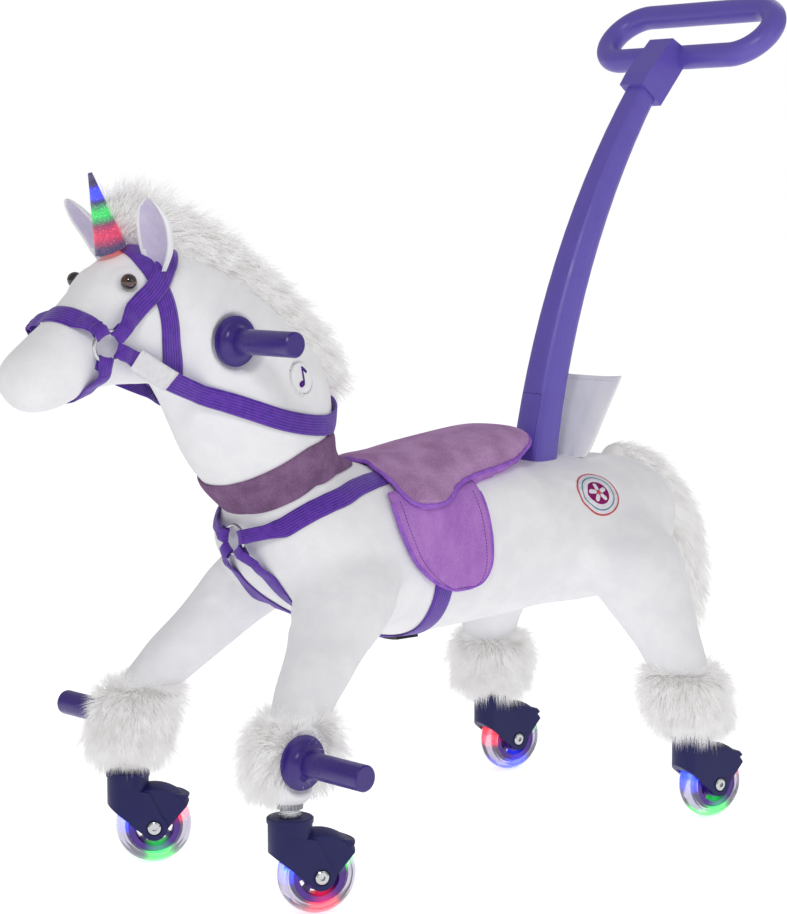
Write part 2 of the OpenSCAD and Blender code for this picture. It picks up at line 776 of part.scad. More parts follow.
module mane() {
    color(FUR) difference() {
        loft(MANE, 16);
        neck_form(seam);
        head_form(seam);
        at_horn() cylinder(d = horn_d + 2 * clear, h = horn_l);
        both_sides() loft(EAR, 16, seam);
    }
}

TAIL = smooth([
    tuft(-316, 100, 20, 18, 18), tuft(-350, 84, 42, 30, 30), tuft(-390, 50, 62, 36, 36),
    tuft(-419, 2, 76, 36, 34), tuft(-436, -46, 82, 27, 25), tuft(-450, -82, 84, 12, 11),
    tuft(-456, -98, 84, 3, 3)
], 2);

module tail() {
    color(FUR) difference() {
        loft(TAIL, 16);
        torso_form(seam);
    }
}

cuff_r = 48;
module cuff(h) {
    rotate_extrude() polygon([
        [10, 4], [cuff_r * 0.7, 2], [cuff_r * 0.93, h * 0.2], [cuff_r, h * 0.45], [cuff_r * 0.94, h * 0.72],
        [cuff_r * 0.78, h * 0.93], [cuff_r * 0.55, h], [10, h]
    ]);
}

module stem_room() { cylinder(d = stem_d + 2 * clear, h = stem_show + stem_plug); }

module fetlock_cuffs() {
    color(FUR) both_sides() {
        difference() {
            translate([front_x, front_y, foot_z]) cuff(80);
            leg_form(FRONT_LEG, seam);
            translate([front_x, front_y, caster_top]) stem_room();
            at_peg() flange_room(peg_flange_d, 60);
        }
        difference() {
            translate([-rear_x + 6, rear_y - 3, foot_z - 4]) cuff(72);
            leg_form(REAR_LEG, seam);
            translate([-rear_x, rear_y, caster_top]) stem_room();
        }
    }
}

// Faces of a slab whose two sides are grids of m by n points
function slab(m, n) = let (b = m * n) concat(
    [for (i = [0:m - 2]) for (k = [0:n - 2]) each [
        [(i + 1) * n + k + 1, i * n + k + 1, i * n + k], [(i + 1) * n + k, (i + 1) * n + k + 1, i * n + k],
        [b + i * n + k + 1, b + (i + 1) * n + k + 1, b + i * n + k],
        [b + (i + 1) * n + k + 1, b + (i + 1) * n + k, b + i * n + k]]],
    [for (i = [0:m - 2]) each [
        [b + (i + 1) * n, (i + 1) * n, i * n], [b + i * n, b + (i + 1) * n, i * n],
        [(i + 1) * n + n - 1, b + (i + 1) * n + n - 1, i * n + n - 1],
        [b + (i + 1) * n + n - 1, b + i * n + n - 1, i * n + n - 1]]],
    [for (k = [0:n - 2]) each [
        [k + 1, b + k + 1, k], [b + k + 1, b + k, k],
        [b + (m - 1) * n + k + 1, (m - 1) * n + k + 1, (m - 1) * n + k],
        [b + (m - 1) * n + k, b + (m - 1) * n + k + 1, (m - 1) * n + k]]]
);

// Saddle: a thick seat over the back, with a felt flap down each side.
function barrel_z(x, y) = let (r = between(TORSO, torso_s(x)))
    r[0][2] + r[1][2] * sqrt(max(0, 1 - pow(y / r[2][1], 2)));
// Distance along the back, plan half width, and heights of crown and edge above the spine
SEAT = smooth([
    [86, 44, 124, 114], [76, 66, 124, 104], [40, 84, 126, 88], [-36, 80, 137, 106],
    [-94, 68, 146, 116], [-130, 54, 146, 125], [-156, 34, 143, 133], [-166, 12, 140, 138]
], 2);
seat_cols = 12;
seat_edge = 4;
function seat_top(r, v) = spine_z + r[2] - (r[2] - r[3]) * v * v;
function across(k) = 2 * k / seat_cols - 1;

module seat_form(g = 0) {
    top = [for (r = SEAT) for (k = [0:seat_cols]) let (v = across(k))
        [r[0], (r[1] + g) * v, seat_top(r, v) + g]];
    low = [for (r = SEAT) for (k = [0:seat_cols]) let (v = across(k), y = r[1] * v)
        [r[0], (r[1] + g) * v, min(barrel_z(r[0], y) + strap_gap, seat_top(r, v) - seat_edge) - g]];
    polyhedron(concat(top, low), slab(len(SEAT), seat_cols + 1));
}

module saddle_seat() {
    color(VELOUR) difference() {
        seat_form();
        torso_form(strap_gap / 2);
        pole_room();
    }
}

// Flap outline: its top follows the seat's edge, its lower edge is rounded
flap_x = 25;
flap_half = 61;
flap_side = 50;
flap_drop = 52;
flap_cap = 100;
flap_tuck = 1.4;
flap_t = 4;
flap_off = strap_gap + strap_t + 2 * clear;
SEAT_HALF = [for (i = [len(SEAT) - 1:-1:0]) [SEAT[i][0], SEAT[i][1]]];
function barrel_angle(x, h) = let (r = between(TORSO, torso_s(x))) acos((spine_z + h - r[0][2]) / r[1][2]);
function flap_top(x) = min(flap_cap, barrel_z(x, lookup(x, SEAT_HALF) - flap_tuck) - spine_z);
function flap_low(u) = flap_side - flap_drop * sqrt(max(0, 1 - pow(abs(u), 2.5)));

module saddle_flap() {
    cols = 12;
    rows = 6;
    grid = [for (i = [0:cols]) for (j = [0:rows])
        let (u = cos(180 * i / cols), x = flap_x + flap_half * u, top = flap_top(x))
        [torso_s(x), barrel_angle(x, top + (flap_low(u) - top) * j / rows)]];
    outer = [for (q = grid) on(TORSO, q[0], q[1], flap_off + flap_t)];
    inner = [for (q = grid) on(TORSO, q[0], q[1], flap_off)];
    polyhedron(concat(outer, inner), slab(cols + 1, rows + 1));
}

module saddle_flaps() { color(FELT) both_sides() saddle_flap(); }

// Webbing
girth_top = 98;
girth_x = 60;
girth_sweep = 46;
module girth_strap() {
    steps = 26;
    turn = (360 - 2 * girth_top) / steps;
    color(WEB) strap(TORSO, [for (i = [0:steps]) let (a = girth_top + turn * i)
        [torso_s(girth_x + girth_sweep * cos(a)), a]]);
}

// Slide buckle on the girth under the belly
buckle_a = 169;
buckle_turn = 15;
buckle_t = 3.5;
module girth_buckle() {
    steps = 4;
    color("#17161B") strap(TORSO, [for (i = [0:steps]) let (a = buckle_a + buckle_turn * i / steps)
        [torso_s(girth_x + girth_sweep * cos(a)), a]], strap_w + 8, over_gap, buckle_t);
}

// Breast straps run from the chest ring to the saddle, and a pair runs down between the legs to the girth.
chest_strap_w = 13;
module breast_straps() {
    girth_front = girth_x - girth_sweep + strap_w / 2 + strap_t;
    color(WEB) both_sides() {
        difference() {
            strap(TORSO, smooth([
                [torso_s(chest_x - 0.5), 84], [torso_s(221), 64], [torso_s(206), 61], [torso_s(166), 56],
                [torso_s(120), 44], [torso_s(92), 36]
            ], 4));
            seat_form(seam);
        }
        strap(TORSO, smooth([
            [torso_s(chest_x - 2), 152], [torso_s(216), 160], [torso_s(190), 167], [torso_s(150), 172],
            [torso_s(90), 174], [torso_s(girth_front), 175]
        ], 4), chest_strap_w);
    }
}

collar_h = 36;
collar_t = 6;
collar_s = 2.7;
collar_dip = 1.3;
module neck_collar() {
    steps = 32;
    color(VELOUR) difference() {
        strap(NECK, [for (i = [0:steps - 1]) let (a = 360 * i / steps)
            [collar_s + collar_dip * min(0, cos(a)), a]], collar_h, strap_gap, collar_t, true);
        torso_form(seam);
        neck_form(seam);
    }
}

// Halter: a noseband through the rings, a brow and throat strap, and cheek straps laid over both
nose_x = 413;
nose_lean = 35;
ring_a = 94;
over_gap = strap_gap + strap_t + seam;
module halter() {
    steps = 28;
    color(WEB) difference() {
        union() {
            strap(HEAD, [for (i = [0:steps - 1]) let (a = 360 * i / steps)
                [head_s(nose_x + nose_lean * max(0, cos(a))), a]], closed = true);
            both_sides() {
                strap(HEAD, smooth([
                    [head_s(nose_x - 9), 90], [head_s(388), 83], [head_s(356), 66], [head_s(336), 48],
                    [head_s(326), 34]
                ], 4), g = over_gap);
                strap(HEAD, smooth([
                    [head_s(374), -2], [head_s(369), 20], [head_s(353), 40], [head_s(345), 70],
                    [head_s(338), 106], [head_s(328), 134], [head_s(326), 152]
                ], 4));
            }
        }
        neck_form(seam);
        both_sides() loft(EAR, 16, seam);
        at_horn() horn_cone(seam);
    }
}

ring_r = 14;
ring_t = 4;
ring_off = seam + ring_t / 2;
// Depth by which the chest's round face lets its ring settle
chest_sink = 1.1;

// Frame on a loft: its z axis points out of the surface
module on_surface(rings, s, a, off) {
    n = outward(rings, s, a);
    translate(on(rings, s, a) + n * off) rotate([0, acos(n[2]), atan2(n[1], n[0])]) children();
}

module ring_loop() { rotate_extrude() translate([ring_r, 0]) circle(d = ring_t); }

module strap_rings() {
    color(STEEL) {
        both_sides() on_surface(HEAD, head_s(nose_x), ring_a, over_gap + strap_t + ring_off) ring_loop();
        translate(TORSO[0][0] + [over_gap + ring_off - chest_sink, 0, 0]) rotate([0, 90, 0]) ring_loop();
    }
}

// Reins: from behind each halter ring past the throat, along the neck's side and round its back
REIN_FREE = [[394, 54, spine_z + 247], [372, 50, spine_z + 236], [336, 43, spine_z + 219]];
REIN_ON_NECK = smooth([[8.9, 40], [7.5, 60], [5.7, 86], [4.1, 122], [4, 152], [4, 180]], 3);
rein_free_steps = 3;
rein_off = 1.6;
function flip(v) = [v[0], -v[1], v[2]];
REIN_LEFT = let (laid = [for (c = REIN_ON_NECK) on(NECK, c[0], c[1], rein_off)])
    concat(smooth(concat(REIN_FREE, [laid[0]]), rein_free_steps), [for (i = [1:len(laid) - 1]) laid[i]]);
free = len(REIN_FREE) * rein_free_steps;
REIN_OUT = let (laid = [for (c = REIN_ON_NECK) outward(NECK, c[0], c[1])])
    concat([for (i = [0:free - 1]) unit([0.2, 1, -0.1] * (1 - i / free) + laid[0] * i / free)], laid);

module reins() {
    m = len(REIN_LEFT);
    p = concat(REIN_LEFT, [for (i = [m - 2:-1:0]) flip(REIN_LEFT[i])]);
    q = concat(REIN_OUT, [for (i = [m - 2:-1:0]) flip(REIN_OUT[i])]);
    color(WEB) band(p, q, strap_w, 0, strap_t);
}

// Blank woven label on the near rein
tab_from = 1;
tab_to = 6;
module rein_tab() {
    p = [for (i = [tab_from:tab_to]) REIN_LEFT[i]];
    q = [for (i = [tab_from:tab_to]) REIN_OUT[i]];
    color(WHITE) band(p, q, strap_w + 2, strap_t + seam, 1);
}

FLAP = smooth([
    [[-240, 0, spine_z + 106], [7, 0, 2], [0, 30, 0]], [[-246, 0, spine_z + 118], [8, 0, 3], [0, 36, 0]],
    [[-262, 0, spine_z + 155], [9, 0, 3], [0, 42, 0]], [[-276, 0, spine_z + 184], [7, 0, 3], [0, 46, 0]],
    [[-281, 0, spine_z + 193], [3, 0, 1], [0, 45, 0]]
], 2);
module pole_flap() {
    color(WHITE) difference() {
        loft(FLAP, 20);
        torso_form(seam);
    }
}

// Eyes are domed buttons on short shanks in the plush.
eye_d = 15;
module eyes() {
    color("#1E1512") both_sides() difference() {
        on_surface(HEAD, head_s(382), 54, 1) sphere(d = eye_d);
        head_form(seam);
    }
}

horn_lean = 18;
horn_wall = 2;
horn_tip_d = 4;
module at_horn() { translate([370, 0, spine_z + 336]) rotate([0, horn_lean, 0]) children(); }
module horn_cone(g = 0) { cylinder(d1 = horn_d + 2 * g, d2 = horn_tip_d + 2 * g, h = horn_l + g); }

module horn() {
    color("#8B86A8") difference() {
        at_horn() horn_cone();
        at_horn() translate([0, 0, -1]) cylinder(d1 = horn_d - 2 * horn_wall, d2 = 2, h = horn_l - 6);
        head_form(seam);
        neck_form(seam);
    }
}

HORN_LIGHTS = [14, 35, 53];
module horn_lights() {
    board_w = 2;
    color("#40D060") difference() {
        at_horn() {
            translate([-board_w / 2, -board_w / 2, 0]) cube([board_w, board_w, HORN_LIGHTS[2]]);
            for (h = HORN_LIGHTS) translate([0, 0, h]) sphere(d = 5);
        }
        head_form(seam);
        neck_form(seam);
    }
}

// Sound unit: a case deep in the neck's side, with a press button flush with the plush
post_d = 0.4 * sound_d;
module sound_module() {
    color(FORK) at_sound() difference() {
        cylinder(d = sound_d, h = sound_case_t);
        translate([0, 0, sound_case_t - sound_travel - clear])
            cylinder(d = post_d + 2 * clear, h = sound_case_t);
    }
}

module sound_button() {
    color(FELT) at_sound() {
        translate([0, 0, sound_case_t + sound_travel + clear]) cylinder(d = sound_d, h = button_t);
        translate([0, 0, sound_case_t]) cylinder(d = post_d, h = sound_travel + clear + 1);
    }
}

// The origin is under the middle of the overall length, between the nose and the back of the loop.
mid_x = (HEAD[0][0][0] + loop_centre[0] - loop_r * cos(loop_tilt) - loop_d / 2) / 2;
module placed() { translate([-mid_x, 0, 0]) children(); }

placed() torso();
placed() neck();
placed() head();
placed() ears();
placed() front_leg();  // front_left_leg
placed() mirror([0, 1, 0]) front_leg();  // front_right_leg
placed() rear_leg();  // rear_left_leg
placed() mirror([0, 1, 0]) rear_leg();  // rear_right_leg
placed() mane();
placed() tail();
placed() fetlock_cuffs();
placed() saddle_seat();
placed() saddle_flaps();
placed() girth_strap();
placed() girth_buckle();
placed() breast_straps();
placed() neck_collar();
placed() halter();
placed() reins();
placed() rein_tab();
placed() strap_rings();
placed() pole_flap();
placed() eyes();
placed() horn();
placed() horn_lights();
placed() main_frame();
placed() leg_tubes();
placed() hand_grips();
placed() foot_pegs();
placed() handle_socket();
placed() caster_stems();
placed() sound_module();
placed() sound_button();
placed() push_pole();
placed() loop_handle();
placed() pole_latch();
for (c = CORNERS) {
    placed() caster_at(c) fork();
    placed() caster_at(c) axle();
    placed() caster_at(c) bearings();
    placed() caster_at(c) wheel_core();
    placed() caster_at(c) tyre();
    placed() caster_at(c) wheel_lights();
}
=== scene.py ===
"""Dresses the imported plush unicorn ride-on: skin, fur, tack, push handle, casters and studio."""

from __future__ import annotations

import json
import logging
import math
from collections.abc import Callable, Sequence
from dataclasses import asdict, dataclass, field
from enum import Enum

import bmesh
import bpy
import numpy as np
from bpy.types import Material, Mesh, NodeSocket, NodeTree, Object, Scene
from mathutils import Matrix, Vector, noise
from mathutils.bvhtree import BVHTree

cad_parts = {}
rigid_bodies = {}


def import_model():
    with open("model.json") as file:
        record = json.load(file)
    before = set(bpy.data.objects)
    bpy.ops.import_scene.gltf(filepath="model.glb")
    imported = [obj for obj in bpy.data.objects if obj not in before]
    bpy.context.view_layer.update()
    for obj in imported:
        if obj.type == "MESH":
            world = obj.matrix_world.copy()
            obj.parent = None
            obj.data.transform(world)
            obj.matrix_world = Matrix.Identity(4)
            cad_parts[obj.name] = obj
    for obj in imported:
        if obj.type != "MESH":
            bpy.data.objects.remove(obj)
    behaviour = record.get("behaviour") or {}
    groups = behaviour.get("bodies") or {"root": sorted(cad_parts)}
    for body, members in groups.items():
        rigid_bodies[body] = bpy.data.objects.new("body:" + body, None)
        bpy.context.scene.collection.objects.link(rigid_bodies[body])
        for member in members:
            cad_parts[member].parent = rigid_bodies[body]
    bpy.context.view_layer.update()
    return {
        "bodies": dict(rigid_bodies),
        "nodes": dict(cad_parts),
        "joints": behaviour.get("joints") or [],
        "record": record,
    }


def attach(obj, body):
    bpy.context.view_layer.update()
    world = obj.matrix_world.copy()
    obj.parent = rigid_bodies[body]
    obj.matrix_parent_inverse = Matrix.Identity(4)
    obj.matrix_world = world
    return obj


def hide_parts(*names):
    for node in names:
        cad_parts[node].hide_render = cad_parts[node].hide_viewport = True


log = logging.getLogger("unicorn")

MM = 0.001
BODY = "horse"
# Places in the CAD layout in millimetres; the frame is centred on MID_X
MID_X = 5.0595
SPINE_Z = 280.0
CASTER_TOP = 94.0
GRIP_AT = (270.0, 0.0, 534.0)
PEG_AT = (266.0, 0.0, 148.0)
# Station and angle on the neck
SOUND_AT = (7.7, 108.0)


class Side(Enum):
    """A side of the horse, as the sign of its Y."""

    LEFT = 1
    RIGHT = -1

    def turned(self, v: np.ndarray) -> np.ndarray:
        """v, given for the left side, on this side."""
        return np.asarray(v, float) * np.array([1.0, self.value, 1.0])


class Corner(Enum):
    """A caster's place: swivel X and Y in the CAD layout, and its rest angle in degrees."""

    FRONT_LEFT = (266.0, 125.8, -24.5)
    FRONT_RIGHT = (266.0, -125.8, -36.0)
    REAR_LEFT = (-282.0, 151.3, -11.3)
    REAR_RIGHT = (-282.0, -151.3, -9.6)

    @property
    def prefix(self) -> str:
        """The corner's part of a CAD node's name."""
        return self.name.lower()


class Lamp(Enum):
    """Colour of a small lamp, as an sRGB hex."""

    RED = "#FF1A22"
    GREEN = "#12E03A"
    BLUE = "#1838FF"


# Small geometry helpers


def place(x: float, y: float, z: float) -> np.ndarray:
    """A point of the CAD layout in millimetres, before its centring shift, as metres in the frame."""
    return np.array([x - MID_X, y, z]) * MM


def unit(v: np.ndarray) -> np.ndarray:
    """v, or each row of v, at length one."""
    v = np.asarray(v, float)
    return v / np.maximum(np.linalg.norm(v, axis=-1, keepdims=True), 1e-12)


def flip(v: np.ndarray) -> np.ndarray:
    """v mirrored to the horse's other side."""
    return Side.RIGHT.turned(v)


def ease(t: np.ndarray | float) -> np.ndarray | float:
    """Smooth step from 0 to 1."""
    t = np.clip(t, 0.0, 1.0)
    return t * t * (3 - 2 * t)


def smooth(points: np.ndarray, steps: int) -> np.ndarray:
    """A Catmull-Rom curve through the rows of points.

    Args:
        points: Rows to pass through; each row may hold any numbers.
        steps: How many steps each span is cut into.

    Returns:
        The rows along the curve, the last point included.
    """
    p = np.asarray(points, float)
    last = len(p) - 1
    rows = []
    for i in range(last):
        a, b, c, d = p[max(i - 1, 0)], p[i], p[i + 1], p[min(i + 2, last)]
        square, cube = 2 * a - 5 * b + 4 * c - d, 3 * b - a - 3 * c + d
        for t in np.arange(steps) / steps:
            rows.append(0.5 * (2 * b + (c - a) * t + square * t**2 + cube * t**3))
    return np.array([*rows, p[last]])


def distances(points: np.ndarray) -> np.ndarray:
    """How far along a polyline each of its points lies."""
    return np.concatenate([[0.0], np.cumsum(np.linalg.norm(np.diff(points, axis=0), axis=1))])


def evenly(points: np.ndarray, step: float) -> np.ndarray:
    """Points along a polyline at an even spacing near step.

    Args:
        points: The polyline, rows of any width.
        step: Wanted spacing.

    Returns:
        The new points from end to end.
    """
    p = np.asarray(points, float)
    along = distances(p)
    at = np.linspace(0, along[-1], max(2, int(round(along[-1] / step)) + 1))
    return np.stack([np.interp(at, along, p[:, k]) for k in range(p.shape[1])], axis=1)


def ring_faces(rings: int, sides: int, closed: bool = False) -> list[tuple]:
    """The quads between rings of points.

    Args:
        rings: How many rings.
        sides: Points in each ring.
        closed: Whether the last ring joins the first.

    Returns:
        The faces, ring by ring.
    """
    faces = []
    for i in range(rings if closed else rings - 1):
        here, there = i * sides, (i + 1) % rings * sides
        for k in range(sides):
            q = (k + 1) % sides
            faces.append((here + k, here + q, there + q, there + k))
    return faces


def flat_ends(rings: int, sides: int) -> list[tuple]:
    """The two faces that close a tube of rings."""
    return [tuple(range(sides)), tuple(range((rings - 1) * sides, rings * sides))]


def joined(parts: Sequence[tuple[np.ndarray, list]]) -> tuple[np.ndarray, list]:
    """Several meshes' vertices and faces as one mesh's.

    Args:
        parts: Vertices and faces of each mesh.

    Returns:
        All vertices and all faces, renumbered.
    """
    faces, base = [], 0
    for verts, part in parts:
        faces += [tuple(base + i for i in face) for face in part]
        base += len(verts)
    return np.concatenate([verts for verts, _ in parts]), faces


@dataclass
class Loft:
    """A stuffed form through elliptical stations, each a centre and half axes at 0 and 90 degrees."""

    cut: Callable[..., list]
    rows: Sequence[tuple]
    steps: int = 2
    rings: np.ndarray = field(init=False)

    def __post_init__(self) -> None:
        """Cuts a station from each row and smooths between them."""
        self.rings = smooth(np.array([self.cut(*row) for row in self.rows], float), self.steps)

    def between(self, s: float) -> np.ndarray:
        """The station at a fractional index."""
        i = int(max(0, min(math.floor(s), len(self.rings) - 2)))
        return self.rings[i] + (self.rings[i + 1] - self.rings[i]) * (s - i)

    def on(self, s: float, a: float, grow: float = 0.0) -> np.ndarray:
        """The surface point at station s and angle a in degrees, grown outward.

        Args:
            s: Station, which may lie between two rows.
            a: Angle in degrees, 0 at the top.
            grow: Distance that the form grows by.

        Returns:
            The point.
        """
        centre, u, v = self.between(s)
        t = math.radians(a)
        return centre + (u + unit(u) * grow) * math.cos(t) + (v + unit(v) * grow) * math.sin(t)

    def outward(self, s: float, a: float) -> np.ndarray:
        """The outward normal at station s and angle a."""
        along = self.on(s + 0.05, a) - self.on(s - 0.05, a)
        return unit(np.cross(self.on(s, a + 1) - self.on(s, a - 1), along))

    def station(self, x: float) -> float:
        """The station index at a CAD layout X, for forms that run along X."""
        xs = self.rings[:, 0, 0]
        return float(np.interp(-(x - MID_X) * MM, -xs, np.arange(len(xs))))

    def solid(
        self, sides: int, span: int = 3, share: float = 1.0, bulge: float = 0.3
    ) -> tuple[np.ndarray, list]:
        """The form as a closed mesh.

        Args:
            sides: Points round each ring.
            span: Extra rings per station.
            share: Scale of each ring about its centre.
            bulge: How far the end caps swell, as a share of the end ring's smaller axis.

        Returns:
            Vertices and faces.
        """
        rings = smooth(self.rings, span)
        a = np.linspace(0, 2 * math.pi, sides, endpoint=False)[None, :, None]
        verts = rings[:, None, 0] + share * (rings[:, None, 1] * np.cos(a) + rings[:, None, 2] * np.sin(a))
        n, m = len(rings), sides
        ends = []
        for end, inner in ((0, 1), (n - 1, n - 2)):
            size = share * min(np.linalg.norm(rings[end, 1]), np.linalg.norm(rings[end, 2]))
            ends.append(rings[end, 0] + unit(rings[end, 0] - rings[inner, 0]) * size * bulge)
        faces = ring_faces(n, m)
        faces += [(n * m, (k + 1) % m, k) for k in range(m)]
        faces += [(n * m + 1, (n - 1) * m + k, (n - 1) * m + (k + 1) % m) for k in range(m)]
        return np.concatenate([verts.reshape(-1, 3), np.array(ends)]), faces


def slab(top: np.ndarray, low: np.ndarray) -> tuple[np.ndarray, list]:
    """A closed mesh between two grids of points.

    Args:
        top: The outer grid, rows by columns by 3.
        low: The inner grid, of the same shape.

    Returns:
        Vertices and faces.
    """
    r, c = top.shape[:2]
    b = r * c
    faces = []
    for i in range(r - 1):
        for k in range(c - 1):
            q = (i * c + k, i * c + k + 1, (i + 1) * c + k + 1, (i + 1) * c + k)
            faces += [q, tuple(b + x for x in reversed(q))]
    rim = [*range(c)] + [i * c + c - 1 for i in range(1, r)]
    rim += [(r - 1) * c + k for k in range(c - 2, -1, -1)] + [i * c for i in range(r - 2, 0, -1)]
    for p, q in zip(rim, rim[1:] + rim[:1]):
        faces.append((q, p, b + p, b + q))
    return np.concatenate([top.reshape(-1, 3), low.reshape(-1, 3)]), faces


# Blender helpers


def new_object(
    name: str, verts: np.ndarray, faces: Sequence, *finishes: Material, uvs: Sequence | None = None
) -> Object:
    """A smooth-shaded mesh object at the origin with its faces turned outward.

    Args:
        name: Object name.
        verts: Points in metres.
        faces: Vertex numbers of each face.
        finishes: The mesh's materials.
        uvs: UV per face corner, or None.

    Returns:
        The object, linked to the scene.
    """
    mesh = bpy.data.meshes.new(name)
    mesh.from_pydata([tuple(v) for v in np.asarray(verts, float)], [], faces)
    if uvs is not None:
        mesh.uv_layers.new(name="UVMap").data.foreach_set("uv", np.array(uvs, np.float32).ravel())
    work = bmesh.new()
    work.from_mesh(mesh)
    bmesh.ops.recalc_face_normals(work, faces=work.faces)
    work.to_mesh(mesh)
    work.free()
    mesh.shade_smooth()
    for finish in finishes:
        mesh.materials.append(finish)
    obj = bpy.data.objects.new(name, mesh)
    bpy.context.scene.collection.objects.link(obj)
    return obj


def coords(mesh: Mesh) -> np.ndarray:
    """The mesh's vertices as an array.

    Args:
        mesh: The mesh.

    Returns:
        One row for each vertex.
    """
    co = np.zeros(len(mesh.vertices) * 3)
    mesh.vertices.foreach_get("co", co)
    return co.reshape(-1, 3)


def normals(mesh: Mesh) -> np.ndarray:
    """The mesh's vertex normals as an array.

    Args:
        mesh: The mesh.

    Returns:
        One row for each vertex.
    """
    out = np.zeros(len(mesh.vertices) * 3)
    mesh.vertex_normals.foreach_get("vector", out)
    return out.reshape(-1, 3)


def set_coords(mesh: Mesh, co: np.ndarray) -> None:
    """Moves the mesh's vertices."""
    mesh.vertices.foreach_set("co", np.asarray(co, np.float32).ravel())
    mesh.update()


def bake(obj: Object) -> Object:
    """Turns the object with its modifiers into a plain mesh.

    Args:
        obj: The object.

    Returns:
        The same object with its new mesh.
    """
    graph = bpy.context.evaluated_depsgraph_get()
    final = obj.evaluated_get(graph)
    mesh = bpy.data.meshes.new_from_object(final, preserve_all_data_layers=True, depsgraph=graph)
    obj.modifiers.clear()
    old, obj.data = obj.data, mesh
    bpy.data.meshes.remove(old)
    return obj


def remesh(obj: Object, voxel: float) -> Object:
    """Rebuilds the object as one closed voxel skin.

    Args:
        obj: The object.
        voxel: Voxel size in metres.

    Returns:
        The same object.
    """
    modifier = obj.modifiers.new("voxel", "REMESH")
    modifier.mode = "VOXEL"
    modifier.voxel_size = voxel
    modifier.use_smooth_shade = True
    return bake(obj)


def subdivide(obj: Object, levels: int = 1) -> Object:
    """Adds rounded subdivision levels.

    Args:
        obj: The object.
        levels: How many levels.

    Returns:
        The same object.
    """
    modifier = obj.modifiers.new("round", "SUBSURF")
    modifier.levels = modifier.render_levels = levels
    return bake(obj)


def relax(mesh: Mesh, rounds: int, factor: float = 0.5, weight: np.ndarray | None = None) -> None:
    """Evens the mesh by moving each vertex towards its neighbours.

    Args:
        mesh: The mesh to change.
        rounds: How often the step is repeated.
        factor: Share of the way moved at each step.
        weight: Share per vertex, or None for all of it.
    """
    co = coords(mesh)
    edges = np.zeros(len(mesh.edges) * 2, int)
    mesh.edges.foreach_get("vertices", edges)
    edges = edges.reshape(-1, 2)
    count = np.maximum(np.bincount(edges.ravel(), minlength=len(co)), 1)[:, None]
    share = factor if weight is None else factor * weight[:, None]
    for _ in range(rounds):
        total = np.zeros_like(co)
        for k in range(3):
            total[:, k] = np.bincount(edges[:, 0], co[edges[:, 1], k], len(co))
            total[:, k] += np.bincount(edges[:, 1], co[edges[:, 0], k], len(co))
        co = co + (total / count - co) * share
    set_coords(mesh, co)


def swell(obj: Object, cap: float, pressure: float = 4.0, frames: int = 20) -> Object:
    """Blows the object up as a stuffed cloth bag.

    Args:
        obj: A closed mesh, slightly smaller than the stuffed form.
        cap: The furthest that a point may move.
        pressure: Pressure of the stuffing.
        frames: Simulation steps.
    """
    rest = coords(obj.data)
    cloth = obj.modifiers.new("stuffing", "CLOTH")
    cloth.settings.use_pressure = True
    cloth.settings.uniform_pressure_force = pressure
    cloth.settings.effector_weights.gravity = 0.0
    cloth.settings.quality = 4
    cloth.collision_settings.use_collision = False
    scene = bpy.context.scene
    for frame in range(1, frames + 1):
        scene.frame_set(frame)
    graph = bpy.context.evaluated_depsgraph_get()
    move = coords(obj.evaluated_get(graph).data) - rest
    far = np.linalg.norm(move, axis=1, keepdims=True)
    obj.modifiers.remove(cloth)
    scene.frame_set(1)
    set_coords(obj.data, rest + move * np.minimum(1.0, cap / np.maximum(far, 1e-9)))
    log.info("%s swelled by up to %.1f mm", obj.name, min(cap, far.max()) / MM)
    return obj


def dressed(obj: Object, slot: str, *stands_for: str, body: str = BODY) -> Object:
    """Lets the piece ride on its body and stand for CAD nodes.

    Args:
        obj: The piece.
        slot: Its finish slot, which is not used.
        stands_for: The CAD nodes that it replaces.
        body: The body that carries it.

    Returns:
        The same piece.
    """
    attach(obj, body)
    if stands_for:
        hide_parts(*stands_for)
    return obj


@dataclass
class Surface:
    """Look-ups on a finished skin."""

    obj: Object
    tree: BVHTree = field(init=False)

    def __post_init__(self) -> None:
        """Sorts the skin's faces for the look-ups."""
        mesh = self.obj.data
        faces = [tuple(p.vertices) for p in mesh.polygons]
        self.tree = BVHTree.FromPolygons([tuple(v) for v in coords(mesh)], faces)

    def drop(self, point: np.ndarray, out: np.ndarray, reach: float = 0.035) -> tuple[np.ndarray, np.ndarray]:
        """Where a line along out through point meets the skin.

        Args:
            point: A point near the skin.
            out: The direction away from the skin.
            reach: How far from the point the line starts.

        Returns:
            The place on the skin and the skin's normal there.
        """
        start = Vector(point + out * reach)
        hit, normal, _, _ = self.tree.ray_cast(start, Vector(-out), 2 * reach)
        if hit is None:
            hit, normal, _, _ = self.tree.find_nearest(Vector(point))
        return np.array(hit), np.array(normal)

    def hug(self, points: np.ndarray, lift: float) -> np.ndarray:
        """A closed run of points laid on the skin and evened out.

        Args:
            points: The run, near the skin.
            lift: How far each point ends off the skin.

        Returns:
            The laid points.
        """
        laid = points
        for _ in range(4):
            laid = laid / 2 + (np.roll(laid, 1, axis=0) + np.roll(laid, -1, axis=0)) / 4
            found = [self.tree.find_nearest(Vector(point)) for point in laid]
            laid = np.array([np.array(hit) + np.array(normal) * lift for hit, normal, _, _ in found])
        return laid / 2 + (np.roll(laid, 1, axis=0) + np.roll(laid, -1, axis=0)) / 4


# Node helpers

# Settings of a Mix node that blends colours with its two colour inputs, and of a Map Range with soft ends
BLEND = {"out": 2, "data_type": "RGBA"}
MIX_A, MIX_B = 6, 7
SOFT = {"interpolation_type": "SMOOTHSTEP"}


